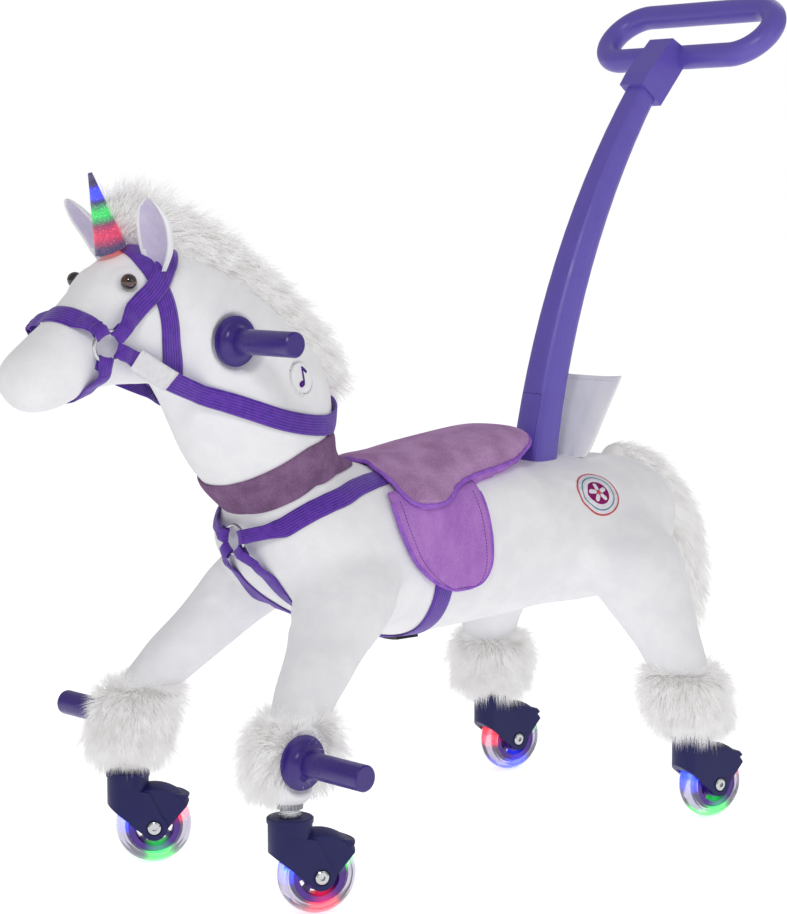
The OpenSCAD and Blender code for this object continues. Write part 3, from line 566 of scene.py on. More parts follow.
def linear(code: str, share: float = 1.0) -> tuple[float, float, float, float]:
    """An sRGB hex colour as linear RGBA, darkened to a share."""
    channels = [int(code[i : i + 2], 16) / 255 for i in (1, 3, 5)]
    return (*(share * (c / 12.92 if c <= 0.04045 else ((c + 0.055) / 1.055) ** 2.4) for c in channels), 1.0)


def add(
    tree: NodeTree, kind: str, inputs: dict | None = None, out: int | str = 0, **props: object
) -> NodeSocket | None:
    """Adds a node.

    Args:
        tree: The tree to add to.
        kind: The node's type name.
        inputs: Socket name or index to a value, or to an output socket to link.
        out: Name or index of the output to hand back.
        props: Node properties, set before the inputs.

    Returns:
        The output socket, or None for a node without outputs.
    """
    node = tree.nodes.new(kind)
    for name, value in props.items():
        setattr(node, name, value)
    for key, value in (inputs or {}).items():
        if isinstance(value, NodeSocket):
            tree.links.new(value, node.inputs[key])
        else:
            node.inputs[key].default_value = value
    return node.outputs[out] if len(node.outputs) else None


def grain(tree: NodeTree, size: float, detail: float = 2.0, stretch: tuple = (1, 1, 1)) -> NodeSocket:
    """Noise in the piece's own frame.

    Args:
        tree: The tree to add to.
        size: About how large its blobs are, in metres.
        detail: Octaves of finer noise.
        stretch: Scale of the pattern along each axis.

    Returns:
        The noise's value.
    """
    where = add(tree, "ShaderNodeTexCoord", out="Object")
    scaled = add(tree, "ShaderNodeVectorMath", {0: where, 1: stretch}, operation="MULTIPLY")
    return add(tree, "ShaderNodeTexNoise", {"Vector": scaled, "Scale": 1 / size, "Detail": detail}, "Fac")


@dataclass(frozen=True)
class Finish:
    """A material; each kind has its own look."""

    name: str

    def make(self) -> Material:
        """Builds the material.

        Returns:
            The new material.
        """
        material = bpy.data.materials.new(self.name)
        material.use_nodes = True
        tree = material.node_tree
        tree.nodes.clear()
        add(tree, "ShaderNodeOutputMaterial", {"Surface": self.shade(tree)})
        return material

    def shade(self, tree: NodeTree) -> NodeSocket:
        """The surface shader's output."""
        return add(tree, "ShaderNodeBsdfPrincipled", self.look(tree))

    def look(self, tree: NodeTree) -> dict:
        """Adds the nodes of this kind of surface.

        Args:
            tree: The material's tree.

        Returns:
            The Principled shader's inputs.
        """
        raise NotImplementedError


@dataclass(frozen=True)
class PlushFinish(Finish):
    """Short velboa pile: soft, nearly shadowless white with a mottled nap."""

    light: str = "#F6F6F8"
    dark: str = "#F1F1F4"
    pit: str = "#CFCED8"
    patch: float = 0.022
    fibre: float = 0.0011

    def look(self, tree: NodeTree) -> dict:
        """Brushed patches over a fine pile.

        Args:
            tree: The material's node tree.

        Returns:
            Values and sockets for the Principled shader's inputs.
        """
        patches, pile = grain(tree, self.patch, 3.0), grain(tree, self.fibre)
        brushed = add(tree, "ShaderNodeMapRange", {0: patches, 1: 0.35, 2: 0.65}, **SOFT)
        nap = {0: brushed, MIX_A: linear(self.dark), MIX_B: linear(self.light)}
        tone = add(tree, "ShaderNodeMix", nap, **BLEND)
        pits = add(tree, "ShaderNodeMapRange", {0: pile, 1: 0.3, 2: 0.7, 4: 0.14}, **SOFT)
        tone = add(tree, "ShaderNodeMix", {0: pits, MIX_A: tone, MIX_B: linear(self.pit)}, **BLEND)
        height = add(tree, "ShaderNodeMath", {0: patches, 1: pile}, operation="ADD")
        return {
            "Base Color": tone,
            "Roughness": 0.95,
            "Sheen Weight": 0.3,
            "Sheen Roughness": 0.6,
            "Specular IOR Level": 0.15,
            "Normal": add(tree, "ShaderNodeBump", {"Height": height, "Distance": 0.0005, "Strength": 0.22}),
        }


@dataclass(frozen=True)
class FurFinish(Finish):
    """Long acrylic fur: roots a darker ivory that is partly the fur's tone and partly painted shade between
    strands, bright tips, and a low painted glow standing in for light scattered between strands.
    """

    # Root tone, also on the bare base mesh: partly the fur's ivory, partly painted shade deep between the
    # strands
    root: str = "#E1DFDE"
    dull_tip: str = "#F2F0F0"
    tip: str = "#FFFFFF"
    lock: float = 0.014
    # Strength of a painted glow: emission standing in for light scattered between the strands
    glow: float = 0.17

    def look(self, tree: NodeTree) -> dict:
        """Root to tip colour along each strand, with locks of two tones.

        Args:
            tree: The material's node tree.

        Returns:
            Values and sockets for the Principled shader's inputs.
        """
        along = add(tree, "ShaderNodeAttribute", out="Fac", attribute_name="t")
        lock = add(tree, "ShaderNodeMapRange", {0: grain(tree, self.lock), 1: 0.35, 2: 0.7}, **SOFT)
        tips = {0: lock, MIX_A: linear(self.dull_tip), MIX_B: linear(self.tip)}
        tip = add(tree, "ShaderNodeMix", tips, **BLEND)
        grown = add(tree, "ShaderNodeMapRange", {0: along, 1: 0.0, 2: 0.5}, **SOFT)
        tone = add(tree, "ShaderNodeMix", {0: grown, MIX_A: linear(self.root), MIX_B: tip}, **BLEND)
        return {
            "Base Color": tone,
            "Roughness": 0.9,
            "Specular IOR Level": 0.1,
            # Painted glow: each strand emits its own tone in place of light scattered between strands
            "Emission Color": tone,
            "Emission Strength": self.glow,
        }


@dataclass(frozen=True)
class ClothFinish(Finish):
    """Velour or felt: a fuzzy cloth whose nap catches light in patches."""

    light: str = "#AB86A8"
    dark: str = "#8B6487"
    patch: float = 0.03
    fibre: float = 0.0014
    stretch: tuple = (1.0, 1.0, 1.0)
    sheen: float = 0.5

    def look(self, tree: NodeTree) -> dict:
        """Nap patches over fibres.

        Args:
            tree: The material's node tree.

        Returns:
            Values and sockets for the Principled shader's inputs.
        """
        nap = grain(tree, self.patch, 3.0, self.stretch)
        fibre = grain(tree, self.fibre, 3.0, self.stretch)
        both = add(tree, "ShaderNodeMath", {0: nap, 1: fibre}, operation="ADD")
        brushed = add(tree, "ShaderNodeMapRange", {0: both, 1: 0.7, 2: 1.3}, **SOFT)
        tones = {0: brushed, MIX_A: linear(self.dark), MIX_B: linear(self.light)}
        return {
            "Base Color": add(tree, "ShaderNodeMix", tones, **BLEND),
            "Roughness": 0.95,
            "Sheen Weight": self.sheen,
            "Sheen Roughness": 0.45,
            "Sheen Tint": linear(self.light),
            "Specular IOR Level": 0.1,
            "Normal": add(tree, "ShaderNodeBump", {"Height": fibre, "Distance": 0.0005, "Strength": 0.6}),
        }


@dataclass(frozen=True)
class WebbingFinish(Finish):
    """Woven polyester webbing: lengthwise ribs painted lighter on their crests and darker in their grooves,
    and a fine cross weave with a dull silk shine.
    """

    light: str = "#6936B4"
    dark: str = "#401C8A"
    rib: float = 0.0027
    weave: float = 0.0012
    fuzz: float = 0.006

    def look(self, tree: NodeTree) -> dict:
        """Ribs across the strap's width, weave along it; UV is in metres.

        Args:
            tree: The material's node tree.

        Returns:
            Values and sockets for the Principled shader's inputs.
        """
        where = add(tree, "ShaderNodeUVMap", uv_map="UVMap")
        axes = add(tree, "ShaderNodeSeparateXYZ", {0: where}).node.outputs
        ribs, weave = self.wave(tree, axes[1], self.rib), self.wave(tree, axes[0], self.weave)
        # Painted highlight and shade: rib crests lighter and rib grooves darker, over a random fuzz tone
        painted_rib_shade_and_fuzz = {0: ribs, 1: 0.6, 2: grain(tree, self.fuzz, 3.0)}
        painted_rib_shade_and_fuzz = add(tree, "ShaderNodeMath", painted_rib_shade_and_fuzz, operation="MULTIPLY_ADD")
        shine = add(tree, "ShaderNodeMapRange", {0: painted_rib_shade_and_fuzz, 1: 0.35, 2: 1.15}, **SOFT)
        tones = {0: shine, MIX_A: linear(self.dark), MIX_B: linear(self.light)}
        height = add(tree, "ShaderNodeMath", {0: weave, 1: 0.3, 2: ribs}, operation="MULTIPLY_ADD")
        return {
            "Base Color": add(tree, "ShaderNodeMix", tones, **BLEND),
            "Roughness": 0.6,
            "Sheen Weight": 0.25,
            "Specular IOR Level": 0.3,
            "Normal": add(tree, "ShaderNodeBump", {"Height": height, "Distance": 0.0004, "Strength": 0.7}),
        }

    @staticmethod
    def wave(tree: NodeTree, value: NodeSocket, period: float) -> NodeSocket:
        """A soft ridge line repeated every period metres.

        Args:
            tree: The material's node tree.
            value: Place across the lines, in metres.
            period: Distance between two lines.

        Returns:
            Height of the ridge from 0 to 1.
        """
        turn = add(tree, "ShaderNodeMath", {0: value, 1: 2 * math.pi / period}, operation="MULTIPLY")
        wave = add(tree, "ShaderNodeMath", {0: turn}, operation="SINE")
        return add(tree, "ShaderNodeMath", {0: wave, 1: 0.5, 2: 0.5}, operation="MULTIPLY_ADD")


@dataclass(frozen=True)
class PlasticFinish(Finish):
    """Moulded plastic: even colour, satin skin with a faint flow mottle."""

    color: str = "#3B2A85"
    roughness: float = 0.34
    specular: float = 0.5
    uneven: float = 0.06
    flow: float = 0.03
    peel: float = 0.0016

    def look(self, tree: NodeTree) -> dict:
        """Satin with a slightly uneven polish.

        Args:
            tree: The material's node tree.

        Returns:
            Values and sockets for the Principled shader's inputs.
        """
        flow, peel = grain(tree, self.flow), grain(tree, self.peel, 1.0)
        tones = {0: flow, MIX_A: linear(self.color, 0.86), MIX_B: linear(self.color)}
        polish = {0: flow, 1: 0.3, 2: 0.7, 3: self.roughness - self.uneven, 4: self.roughness + self.uneven}
        return {
            "Base Color": add(tree, "ShaderNodeMix", tones, **BLEND),
            "Roughness": add(tree, "ShaderNodeMapRange", polish, **SOFT),
            "Specular IOR Level": self.specular,
            "Normal": add(tree, "ShaderNodeBump", {"Height": peel, "Distance": 0.00012, "Strength": 0.35}),
        }


@dataclass(frozen=True)
class MetalFinish(Finish):
    """Plated or painted metal: bright reflections with fine wear in the polish."""

    color: str = "#C9CACD"
    roughness: float = 0.2
    metallic: float = 1.0
    wear: float = 0.004

    def look(self, tree: NodeTree) -> dict:
        """Metal with an uneven polish.

        Args:
            tree: The material's node tree.

        Returns:
            Values and sockets for the Principled shader's inputs.
        """
        wear = grain(tree, self.wear, 4.0)
        tones = {0: wear, MIX_A: linear(self.color, 0.8), MIX_B: linear(self.color)}
        polish = {0: wear, 1: 0.3, 2: 0.7, 3: self.roughness - 0.08, 4: self.roughness + 0.1}
        return {
            "Base Color": add(tree, "ShaderNodeMix", tones, **BLEND),
            "Metallic": self.metallic,
            "Roughness": add(tree, "ShaderNodeMapRange", polish, **SOFT),
        }


@dataclass(frozen=True)
class GlowFinish(Finish):
    """Clear or smoky moulding lit from inside by small coloured lamps."""

    lamps: tuple = ()
    color: str = "#DCDDEA"
    strength: float = 1.6
    transmission: float = 0.85
    roughness: float = 0.1
    glitter: float = 0.0
    lamp_core: float = 0.002
    cloud: float = 0.01
    speck: str = "#9A90BC"
    dimmed: tuple = (0.02, 0.015, 0.05, 1.0)

    def look(self, tree: NodeTree) -> dict:
        """Glass-like body plus the lamps' glow around their places.

        Args:
            tree: The material's node tree.

        Returns:
            Values and sockets for the Principled shader's inputs.
        """
        where = add(tree, "ShaderNodeTexCoord", out="Object")
        dark = glow = (0.0, 0.0, 0.0, 1.0)
        for lamp, centre, reach in self.lamps:
            spot = {0: where, 1: tuple(centre)}
            far = add(tree, "ShaderNodeVectorMath", spot, "Value", operation="DISTANCE")
            near = {0: far, 1: self.lamp_core, 2: reach, 3: 1.0, 4: 0.0}
            near = add(tree, "ShaderNodeMapRange", near, **SOFT)
            lit = add(tree, "ShaderNodeMix", {0: near, MIX_A: dark, MIX_B: linear(lamp.value)}, **BLEND)
            glow = add(tree, "ShaderNodeMix", {0: 1.0, MIX_A: glow, MIX_B: lit}, blend_type="ADD", **BLEND)
        tones = {0: grain(tree, self.cloud), MIX_A: linear(self.color, 0.9), MIX_B: linear(self.color)}
        body = add(tree, "ShaderNodeMix", tones, **BLEND)
        if self.glitter:
            cells = add(tree, "ShaderNodeTexVoronoi", {"Vector": where, "Scale": 1300.0}, "Color")
            pick = add(tree, "ShaderNodeSeparateColor", {0: cells})
            speck = add(tree, "ShaderNodeMapRange", {0: pick, 1: 0.9, 2: 0.95}, **SOFT)
            body = add(tree, "ShaderNodeMix", {0: speck, MIX_A: body, MIX_B: linear(self.speck)}, **BLEND)
            dim = {0: pick, 1: 0.1, 2: 0.7, 3: self.glitter, 4: 0.0}
            dim = add(tree, "ShaderNodeMapRange", dim, **SOFT)
            glow = add(tree, "ShaderNodeMix", {0: dim, MIX_A: glow, MIX_B: self.dimmed}, **BLEND)
        return {
            "Base Color": body,
            "Roughness": self.roughness,
            "IOR": 1.46,
            "Transmission Weight": self.transmission,
            "Emission Color": glow,
            "Emission Strength": self.strength,
        }


@dataclass(frozen=True)
class EyeFinish(Finish):
    """Polished button eye: black pupil, dark brown iris, hard gloss."""

    centre: tuple = (0.0, 0.0, 0.0)
    axis: tuple = (0.0, 1.0, 0.0)
    pupil: tuple = (0.0036, 0.0042)
    limit: tuple = (0.0062, 0.0072)
    streak: float = 0.002

    def look(self, tree: NodeTree) -> dict:
        """Rings about the eye's axis; both eyes mirror to one side.

        Args:
            tree: The material's node tree.

        Returns:
            Values and sockets for the Principled shader's inputs.
        """
        where = add(tree, "ShaderNodeTexCoord", out="Object")
        x, y, z = add(tree, "ShaderNodeSeparateXYZ", {0: where}).node.outputs
        side = add(tree, "ShaderNodeMath", {0: y}, operation="ABSOLUTE")
        folded = add(tree, "ShaderNodeCombineXYZ", {0: x, 1: side, 2: z})
        arm = add(tree, "ShaderNodeVectorMath", {0: folded, 1: self.centre}, operation="SUBTRACT")
        turned = add(tree, "ShaderNodeVectorMath", {0: arm, 1: self.axis}, operation="CROSS_PRODUCT")
        off = add(tree, "ShaderNodeVectorMath", {0: turned}, "Value", operation="LENGTH")
        browns = {0: grain(tree, self.streak), MIX_A: linear("#2A130C"), MIX_B: linear("#5A2E1C")}
        tone = add(tree, "ShaderNodeMix", browns, **BLEND)
        in_pupil = add(tree, "ShaderNodeMapRange", {0: off, 1: self.pupil[0], 2: self.pupil[1]}, **SOFT)
        tone = add(tree, "ShaderNodeMix", {0: in_pupil, MIX_A: linear("#050304"), MIX_B: tone}, **BLEND)
        at_edge = add(tree, "ShaderNodeMapRange", {0: off, 1: self.limit[0], 2: self.limit[1]}, **SOFT)
        tone = add(tree, "ShaderNodeMix", {0: at_edge, MIX_A: tone, MIX_B: linear("#120807")}, **BLEND)
        return {"Base Color": tone, "Roughness": 0.08, "Coat Weight": 1.0, "Coat Roughness": 0.03}


@dataclass(frozen=True)
class FloorFinish(Finish):
    """White studio paper: shows only the object's soft shadow."""

    color: str = "#FFFFFF"
    seen: float = 0.63
    bounce: float = 0.42

    def shade(self, tree: NodeTree) -> NodeSocket:
        """Matt white that the camera sees bright, shaded only where the object blocks the light.

        Args:
            tree: The material's node tree.

        Returns:
            The floor's shader.
        """
        paper = add(tree, "ShaderNodeBsdfDiffuse", {"Color": linear(self.color)})
        ray = add(tree, "ShaderNodeLightPath").node.outputs
        seen = ray["Is Camera Ray"]
        for kind in ("Is Transmission Ray", "Is Glossy Ray"):
            seen = add(tree, "ShaderNodeMath", {0: seen, 1: ray[kind]}, operation="MAXIMUM")
        strength = add(tree, "ShaderNodeMix", {0: seen, 2: self.bounce, 3: self.seen}, data_type="FLOAT")
        lit = add(tree, "ShaderNodeEmission", {"Color": linear(self.color), "Strength": strength})
        return add(tree, "ShaderNodeAddShader", {0: paper, 1: lit})


# Geometry node trees


def named(numbers: Pile | Stitch | Cord) -> dict[str, float]:
    """The fields of a cut, stitch or cord as a tree's input values, by input name."""
    return {key.capitalize(): value for key, value in asdict(numbers).items()}


def open_tree(name: str, numbers: dict[str, float]) -> tuple[NodeTree, dict]:
    """A geometry tree with one Geometry input and named number inputs.

    Args:
        name: The tree's name.
        numbers: Input names and their default values.

    Returns:
        The tree and its input sockets by name.
    """
    tree = bpy.data.node_groups.new(name, "GeometryNodeTree")
    tree.interface.new_socket("Geometry", in_out="INPUT", socket_type="NodeSocketGeometry")
    for key, value in numbers.items():
        kind = "NodeSocketInt" if isinstance(value, int) else "NodeSocketFloat"
        tree.interface.new_socket(key, in_out="INPUT", socket_type=kind).default_value = value
    tree.interface.new_socket("Geometry", in_out="OUTPUT", socket_type="NodeSocketGeometry")
    given = add(tree, "NodeGroupInput").node.outputs
    return tree, {socket.name: socket for socket in given if socket.name}


def close_tree(tree: NodeTree, geometry: NodeSocket, finish: Material) -> NodeTree:
    """Ends a tree with its geometry smooth-shaded, realised and in its finish.

    Args:
        tree: The tree.
        geometry: Its last geometry.
        finish: The material of what it makes.

    Returns:
        The same tree.
    """
    soft = add(tree, "GeometryNodeSetShadeSmooth", {"Geometry": geometry, "Shade Smooth": True})
    real = add(tree, "GeometryNodeRealizeInstances", {0: soft})
    done = add(tree, "GeometryNodeSetMaterial", {"Geometry": real, "Material": finish})
    add(tree, "NodeGroupOutput", {0: done})
    return tree


def run_tree(obj: Object, tree: NodeTree, values: dict[str, float]) -> Object:
    """Applies a geometry tree to the object with its inputs set by socket identifier.

    Args:
        obj: The object.
        tree: The tree.
        values: Input values by name.

    Returns:
        The same object with its new mesh.
    """
    modifier = obj.modifiers.new(tree.name, "NODES")
    modifier.node_group = tree
    for item in tree.interface.items_tree:
        if item.in_out == "INPUT" and item.name in values:
            modifier[item.identifier] = values[item.name]
    return bake(obj)


@dataclass(frozen=True)
class Pile:
    """The cut of one fur trim: strands per square metre, sizes in metres, shares of the length."""

    density: float
    length: float
    width: float = 0.00055
    droop: float = 0.25
    clump: float = 0.45
    stray: float = 0.16
    tuft: float = 0.012
    seed: int = 7


@dataclass(frozen=True)
class Stitch:
    """A sewing stitch's pitch, length and thickness in metres."""

    pitch: float = 0.0026
    length: float = 0.0019
    thread: float = 0.0007


@dataclass(frozen=True)
class Cord:
    """A piping cord's radius and the step of its bends in metres."""

    radius: float = 0.002
    step: float = 0.003


def fur_tree(finish: Material) -> NodeTree:
    """Strands that grow along the base mesh's comb attribute, gathered into tufts.

    Args:
        finish: Material of the strands and the base.

    Returns:
        The tree; each strand is a closed three-sided spike with its share of length in attribute t.
    """
    tree, given = open_tree("fur_strands", named(Pile(1.0, 0.03)))
    spot = add(tree, "GeometryNodeInputPosition")
    skin = {"Mesh": given["Geometry"], "Density": given["Density"], "Seed": given["Seed"]}
    points = add(tree, "GeometryNodeDistributePointsOnFaces", skin, "Points")
    place_of = {"Geometry": points, "Name": "root", "Value": spot}
    rooted = add(tree, "GeometryNodeStoreNamedAttribute", place_of, data_type="FLOAT_VECTOR")
    cone = {"Vertices": 3, "Side Segments": 3, "Fill Segments": 1, "Radius Top": 0.0, "Radius Bottom": 1.0}
    spike = add(tree, "GeometryNodeMeshCone", {**cone, "Depth": 1.0}, "Mesh")
    height = add(tree, "ShaderNodeSeparateXYZ", {0: spot}, 2)
    share_of = {"Geometry": spike, "Name": "t", "Value": height}
    spike = add(tree, "GeometryNodeStoreNamedAttribute", share_of, data_type="FLOAT")

    comb = add(tree, "GeometryNodeInputNamedAttribute", {"Name": "comb"}, data_type="FLOAT_VECTOR")
    spread = {0: (-0.3, -0.3, -0.3), 1: (0.3, 0.3, 0.3), "Seed": 3}
    lean = add(tree, "FunctionNodeRandomValue", spread, data_type="FLOAT_VECTOR")
    aim = add(tree, "ShaderNodeVectorMath", {0: comb, 1: lean}, operation="ADD")
    turn = add(tree, "FunctionNodeAlignRotationToVector", {"Vector": aim}, axis="Z")
    vary = add(tree, "FunctionNodeRandomValue", {2: 0.62, 3: 1.12, "Seed": 5}, 1, data_type="FLOAT")
    long = add(tree, "ShaderNodeMath", {0: given["Length"], 1: vary}, operation="MULTIPLY")
    size = add(tree, "ShaderNodeCombineXYZ", {0: given["Width"], 1: given["Width"], 2: long})
    grown = {"Points": rooted, "Instance": spike, "Rotation": turn, "Scale": size}
    strands = add(tree, "GeometryNodeInstanceOnPoints", grown)
    real = add(tree, "GeometryNodeRealizeInstances", {0: strands})

    # Each strand bends more towards its tip: to its tuft's middle, astray and down
    root = add(tree, "GeometryNodeInputNamedAttribute", {"Name": "root"}, data_type="FLOAT_VECTOR")
    share = add(tree, "GeometryNodeInputNamedAttribute", {"Name": "t"}, data_type="FLOAT")
    bend = add(tree, "ShaderNodeMath", {0: share, 1: 1.7}, operation="POWER")
    finer = add(tree, "ShaderNodeMath", {0: 1.0, 1: given["Tuft"]}, operation="DIVIDE")
    cell = add(tree, "ShaderNodeTexVoronoi", {"Vector": root, "Scale": finer}, "Position")
    pull = add(tree, "ShaderNodeVectorMath", {0: cell, 1: root}, operation="SUBTRACT")
    pull_by = add(tree, "ShaderNodeMath", {0: bend, 1: given["Clump"]}, operation="MULTIPLY")
    pull = add(tree, "ShaderNodeVectorMath", {0: pull, "Scale": pull_by}, operation="SCALE")
    wild = add(tree, "ShaderNodeTexNoise", {"Vector": cell, "Scale": 260.0, "Detail": 1.0}, "Color")
    wild = add(tree, "ShaderNodeVectorMath", {0: wild, 1: (0.5, 0.5, 0.5)}, operation="SUBTRACT")
    wild_by = add(tree, "ShaderNodeMath", {0: given["Stray"], 1: given["Length"]}, operation="MULTIPLY")
    fall = add(tree, "ShaderNodeMath", {0: given["Droop"], 1: given["Length"]}, operation="MULTIPLY")
    for by in (bend, 4.0):
        wild_by = add(tree, "ShaderNodeMath", {0: wild_by, 1: by}, operation="MULTIPLY")
    for by in (bend, -1.0):
        fall = add(tree, "ShaderNodeMath", {0: fall, 1: by}, operation="MULTIPLY")
    wild = add(tree, "ShaderNodeVectorMath", {0: wild, "Scale": wild_by}, operation="SCALE")
    sway = add(tree, "ShaderNodeVectorMath", {0: pull, 1: wild}, operation="ADD")
    down = add(tree, "ShaderNodeCombineXYZ", {2: fall})
    sway = add(tree, "ShaderNodeVectorMath", {0: sway, 1: down}, operation="ADD")
    moved = add(tree, "GeometryNodeSetPosition", {"Geometry": real, "Offset": sway})
    whole = add(tree, "GeometryNodeJoinGeometry", {0: moved})
    tree.links.new(given["Geometry"], whole.node.inputs[0])
    return close_tree(tree, whole, finish)


def stitch_tree(finish: Material) -> NodeTree:
    """A row of sewn stitches along a polyline whose points hold an out attribute.

    Args:
        finish: The thread's material.

    Returns:
        The tree, with a Stitch's sizes as its inputs.
    """
    tree, given = open_tree("stitches", named(Stitch()))
    line = add(tree, "GeometryNodeMeshToCurve", {"Mesh": given["Geometry"]})
    steps = {"Curve": line, "Length": given["Pitch"]}
    spots = add(tree, "GeometryNodeCurveToPoints", steps, mode="LENGTH").node.outputs
    out = add(tree, "GeometryNodeInputNamedAttribute", {"Name": "out"}, data_type="FLOAT_VECTOR")
    axes = {0: spots["Tangent"], 1: out}
    turn = add(tree, "FunctionNodeAxesToRotation", axes, primary_axis="X", secondary_axis="Z")
    bead = add(tree, "GeometryNodeMeshUVSphere", {"Segments": 8, "Rings": 5, "Radius": 0.5}, "Mesh")
    size = add(tree, "ShaderNodeCombineXYZ", {0: given["Length"], 1: given["Thread"], 2: given["Thread"]})
    sewn = {"Points": spots["Points"], "Instance": bead, "Rotation": turn, "Scale": size}
    return close_tree(tree, add(tree, "GeometryNodeInstanceOnPoints", sewn), finish)


def piping_tree(finish: Material) -> NodeTree:
    """A corded piping along a closed or open polyline.

    Args:
        finish: The cloth round the cord.

    Returns:
        The tree, with a Cord's sizes as its inputs.
    """
    tree, given = open_tree("piping", named(Cord()))
    line = add(tree, "GeometryNodeMeshToCurve", {"Mesh": given["Geometry"]})
    even = add(tree, "GeometryNodeResampleCurve", {"Curve": line, "Length": given["Step"]}, mode="LENGTH")
    ring = add(tree, "GeometryNodeCurvePrimitiveCircle", {"Resolution": 10, "Radius": given["Radius"]})
    sweep = {"Curve": even, "Profile Curve": ring, "Fill Caps": True}
    return close_tree(tree, add(tree, "GeometryNodeCurveToMesh", sweep), finish)


def polyline(name: str, runs: Sequence[tuple[np.ndarray, np.ndarray | None, bool]]) -> Object:
    """Edge-only object for the trees.

    Args:
        name: Object name.
        runs: For each line its points, its outward directions or None, and whether it closes.

    Returns:
        The object, with an out attribute.
    """
    verts, edges, outs = [], [], []
    for points, out, closed in runs:
        base = len(verts)
        verts += [tuple(p) for p in points]
        outs += [(0.0, 0.0, 1.0)] * len(points) if out is None else [tuple(o) for o in out]
        edges += [(base + i, base + i + 1) for i in range(len(points) - 1)]
        if closed:
            edges.append((base + len(points) - 1, base))
    mesh = bpy.data.meshes.new(name)
    mesh.from_pydata(verts, edges, [])
    layer = mesh.attributes.new("out", "FLOAT_VECTOR", "POINT")
    layer.data.foreach_set("vector", np.array(outs, np.float32).ravel())
    obj = bpy.data.objects.new(name, mesh)
    bpy.context.scene.collection.objects.link(obj)
    return obj


def sew(name: str, runs: Sequence, stitch: Stitch, finish: Material, slot: str) -> Object:
    """A dressed row of stitches.

    Args:
        name: Object name.
        runs: The lines to sew along, as polyline takes them.
        stitch: The stitch's sizes.
        finish: The thread.
        slot: Slot of the cloth that is sewn.

    Returns:
        The stitches as one mesh.
    """
    tree = stitch_tree(finish)
    line = run_tree(polyline(name, runs), tree, named(stitch))
    bpy.data.node_groups.remove(tree)
    return dressed(line, slot)


# Forms shared with the CAD layout


def slice_at(x: float, low: float, high: float, half: float) -> list:
    """A torso or head station: X, lowest and highest point over the spine, half width."""
    return [place(x, 0, SPINE_Z + (low + high) / 2), (0, 0, (high - low) / 2 * MM), (0, half * MM, 0)]


def neck_cut(front: tuple, back: tuple, half: float) -> list:
    """A neck station from its front and back points, X and height over the spine, and its half width."""
    f, b = place(front[0], 0, SPINE_Z + front[1]), place(back[0], 0, SPINE_Z + back[1])
    return [(f + b) / 2, (f - b) / 2, (0, half * MM, 0)]


def leg_cut(x: float, y: float, h: float, rx: float, ry: float) -> list:
    """A leg station at height h over the casters."""
    return [place(x, y, CASTER_TOP + h), (rx * MM, 0, 0), (0, ry * MM, 0)]


def tuft_at(x: float, h: float, lean: float, tall: float, half: float) -> list:
    """A fur station: X, height over the spine, lean back in degrees, half height and half width."""
    a, tall = math.radians(lean), tall * MM
    return [place(x, 0, SPINE_Z + h), (-math.sin(a) * tall, 0, math.cos(a) * tall), (0, half * MM, 0)]


TORSO = Loft(
    slice_at,
    [
        (224, 51, 65, 10), (221, 35, 80, 36), (212, 18, 94, 59), (196, 3, 111, 73), (165, -16, 127, 85),
        (100, -44, 130, 92), (40, -58, 110, 94), (-60, -56, 106, 93), (-180, -50, 106, 97),
        (-270, -50, 108, 99), (-330, -36, 104, 88), (-364, -8, 88, 60), (-380, 25, 58, 20),
    ],
)  # fmt: skip
HEAD = Loft(
    slice_at,
    [
        (493, 222, 236, 9), (484, 202, 252, 31), (464, 194, 267, 38.5), (436, 200, 288, 41),
        (406, 211, 315, 47), (374, 214, 342, 51), (338, 212, 348, 50), (302, 216, 338, 44),
    ],
)  # fmt: skip
NECK = Loft(
    neck_cut,
    [
        ((205, 50), (112, 112), 54), ((233, 86), (121, 158), 59), ((266, 116), (118, 184), 66),
        ((292, 154), (120, 210), 67), ((309, 186), (136, 240), 64), ((326, 212), (170, 272), 60),
        ((346, 245), (222, 308), 57), ((362, 282), (275, 333), 50), ((362, 322), (312, 342), 32),
    ],
)  # fmt: skip
FRONT_LEG = Loft(
    leg_cut,
    [
        (266, 125.8, 8, 15, 15), (266, 125.8, 14, 23, 23), (266, 125.8, 46, 25, 25),
        (260, 121.8, 70, 28, 27), (241, 113.8, 93, 35, 30), (202, 98.8, 132, 46, 35),
        (164, 81.8, 164, 56, 42), (136, 65.8, 206, 58, 42), (120, 49.8, 244, 30, 20),
    ],
)  # fmt: skip
REAR_LEG = Loft(
    leg_cut,
    [
        (-282, 151.3, 8, 15, 15), (-282, 151.3, 14, 23, 23), (-279, 149.3, 46, 27, 26),
        (-270, 141.3, 70, 33, 31), (-265, 133.3, 96, 38, 35), (-258, 117.3, 132, 46, 42),
        (-252, 99.3, 170, 58, 52), (-248, 81.3, 206, 64, 54), (-244, 63.3, 244, 36, 26),
    ],
)  # fmt: skip
MANE = Loft(
    tuft_at,
    [
        (378, 372, -20, 9, 6), (350, 366, -5, 34, 17), (303, 352, 22, 33, 19), (252, 330, 32, 33, 19),
        (196, 292, 40, 34, 19), (146, 250, 47, 34, 19), (118, 222, 58, 28, 17), (100, 202, 70, 9, 6),
    ],
)  # fmt: skip
TAIL = Loft(
    tuft_at,
    [
        (-316, 100, 20, 18, 18), (-350, 84, 42, 30, 30), (-390, 50, 62, 36, 36), (-419, 2, 76, 36, 34),
        (-436, -46, 82, 27, 25), (-450, -82, 84, 12, 11), (-456, -98, 84, 3, 3),
    ],
)  # fmt: skip


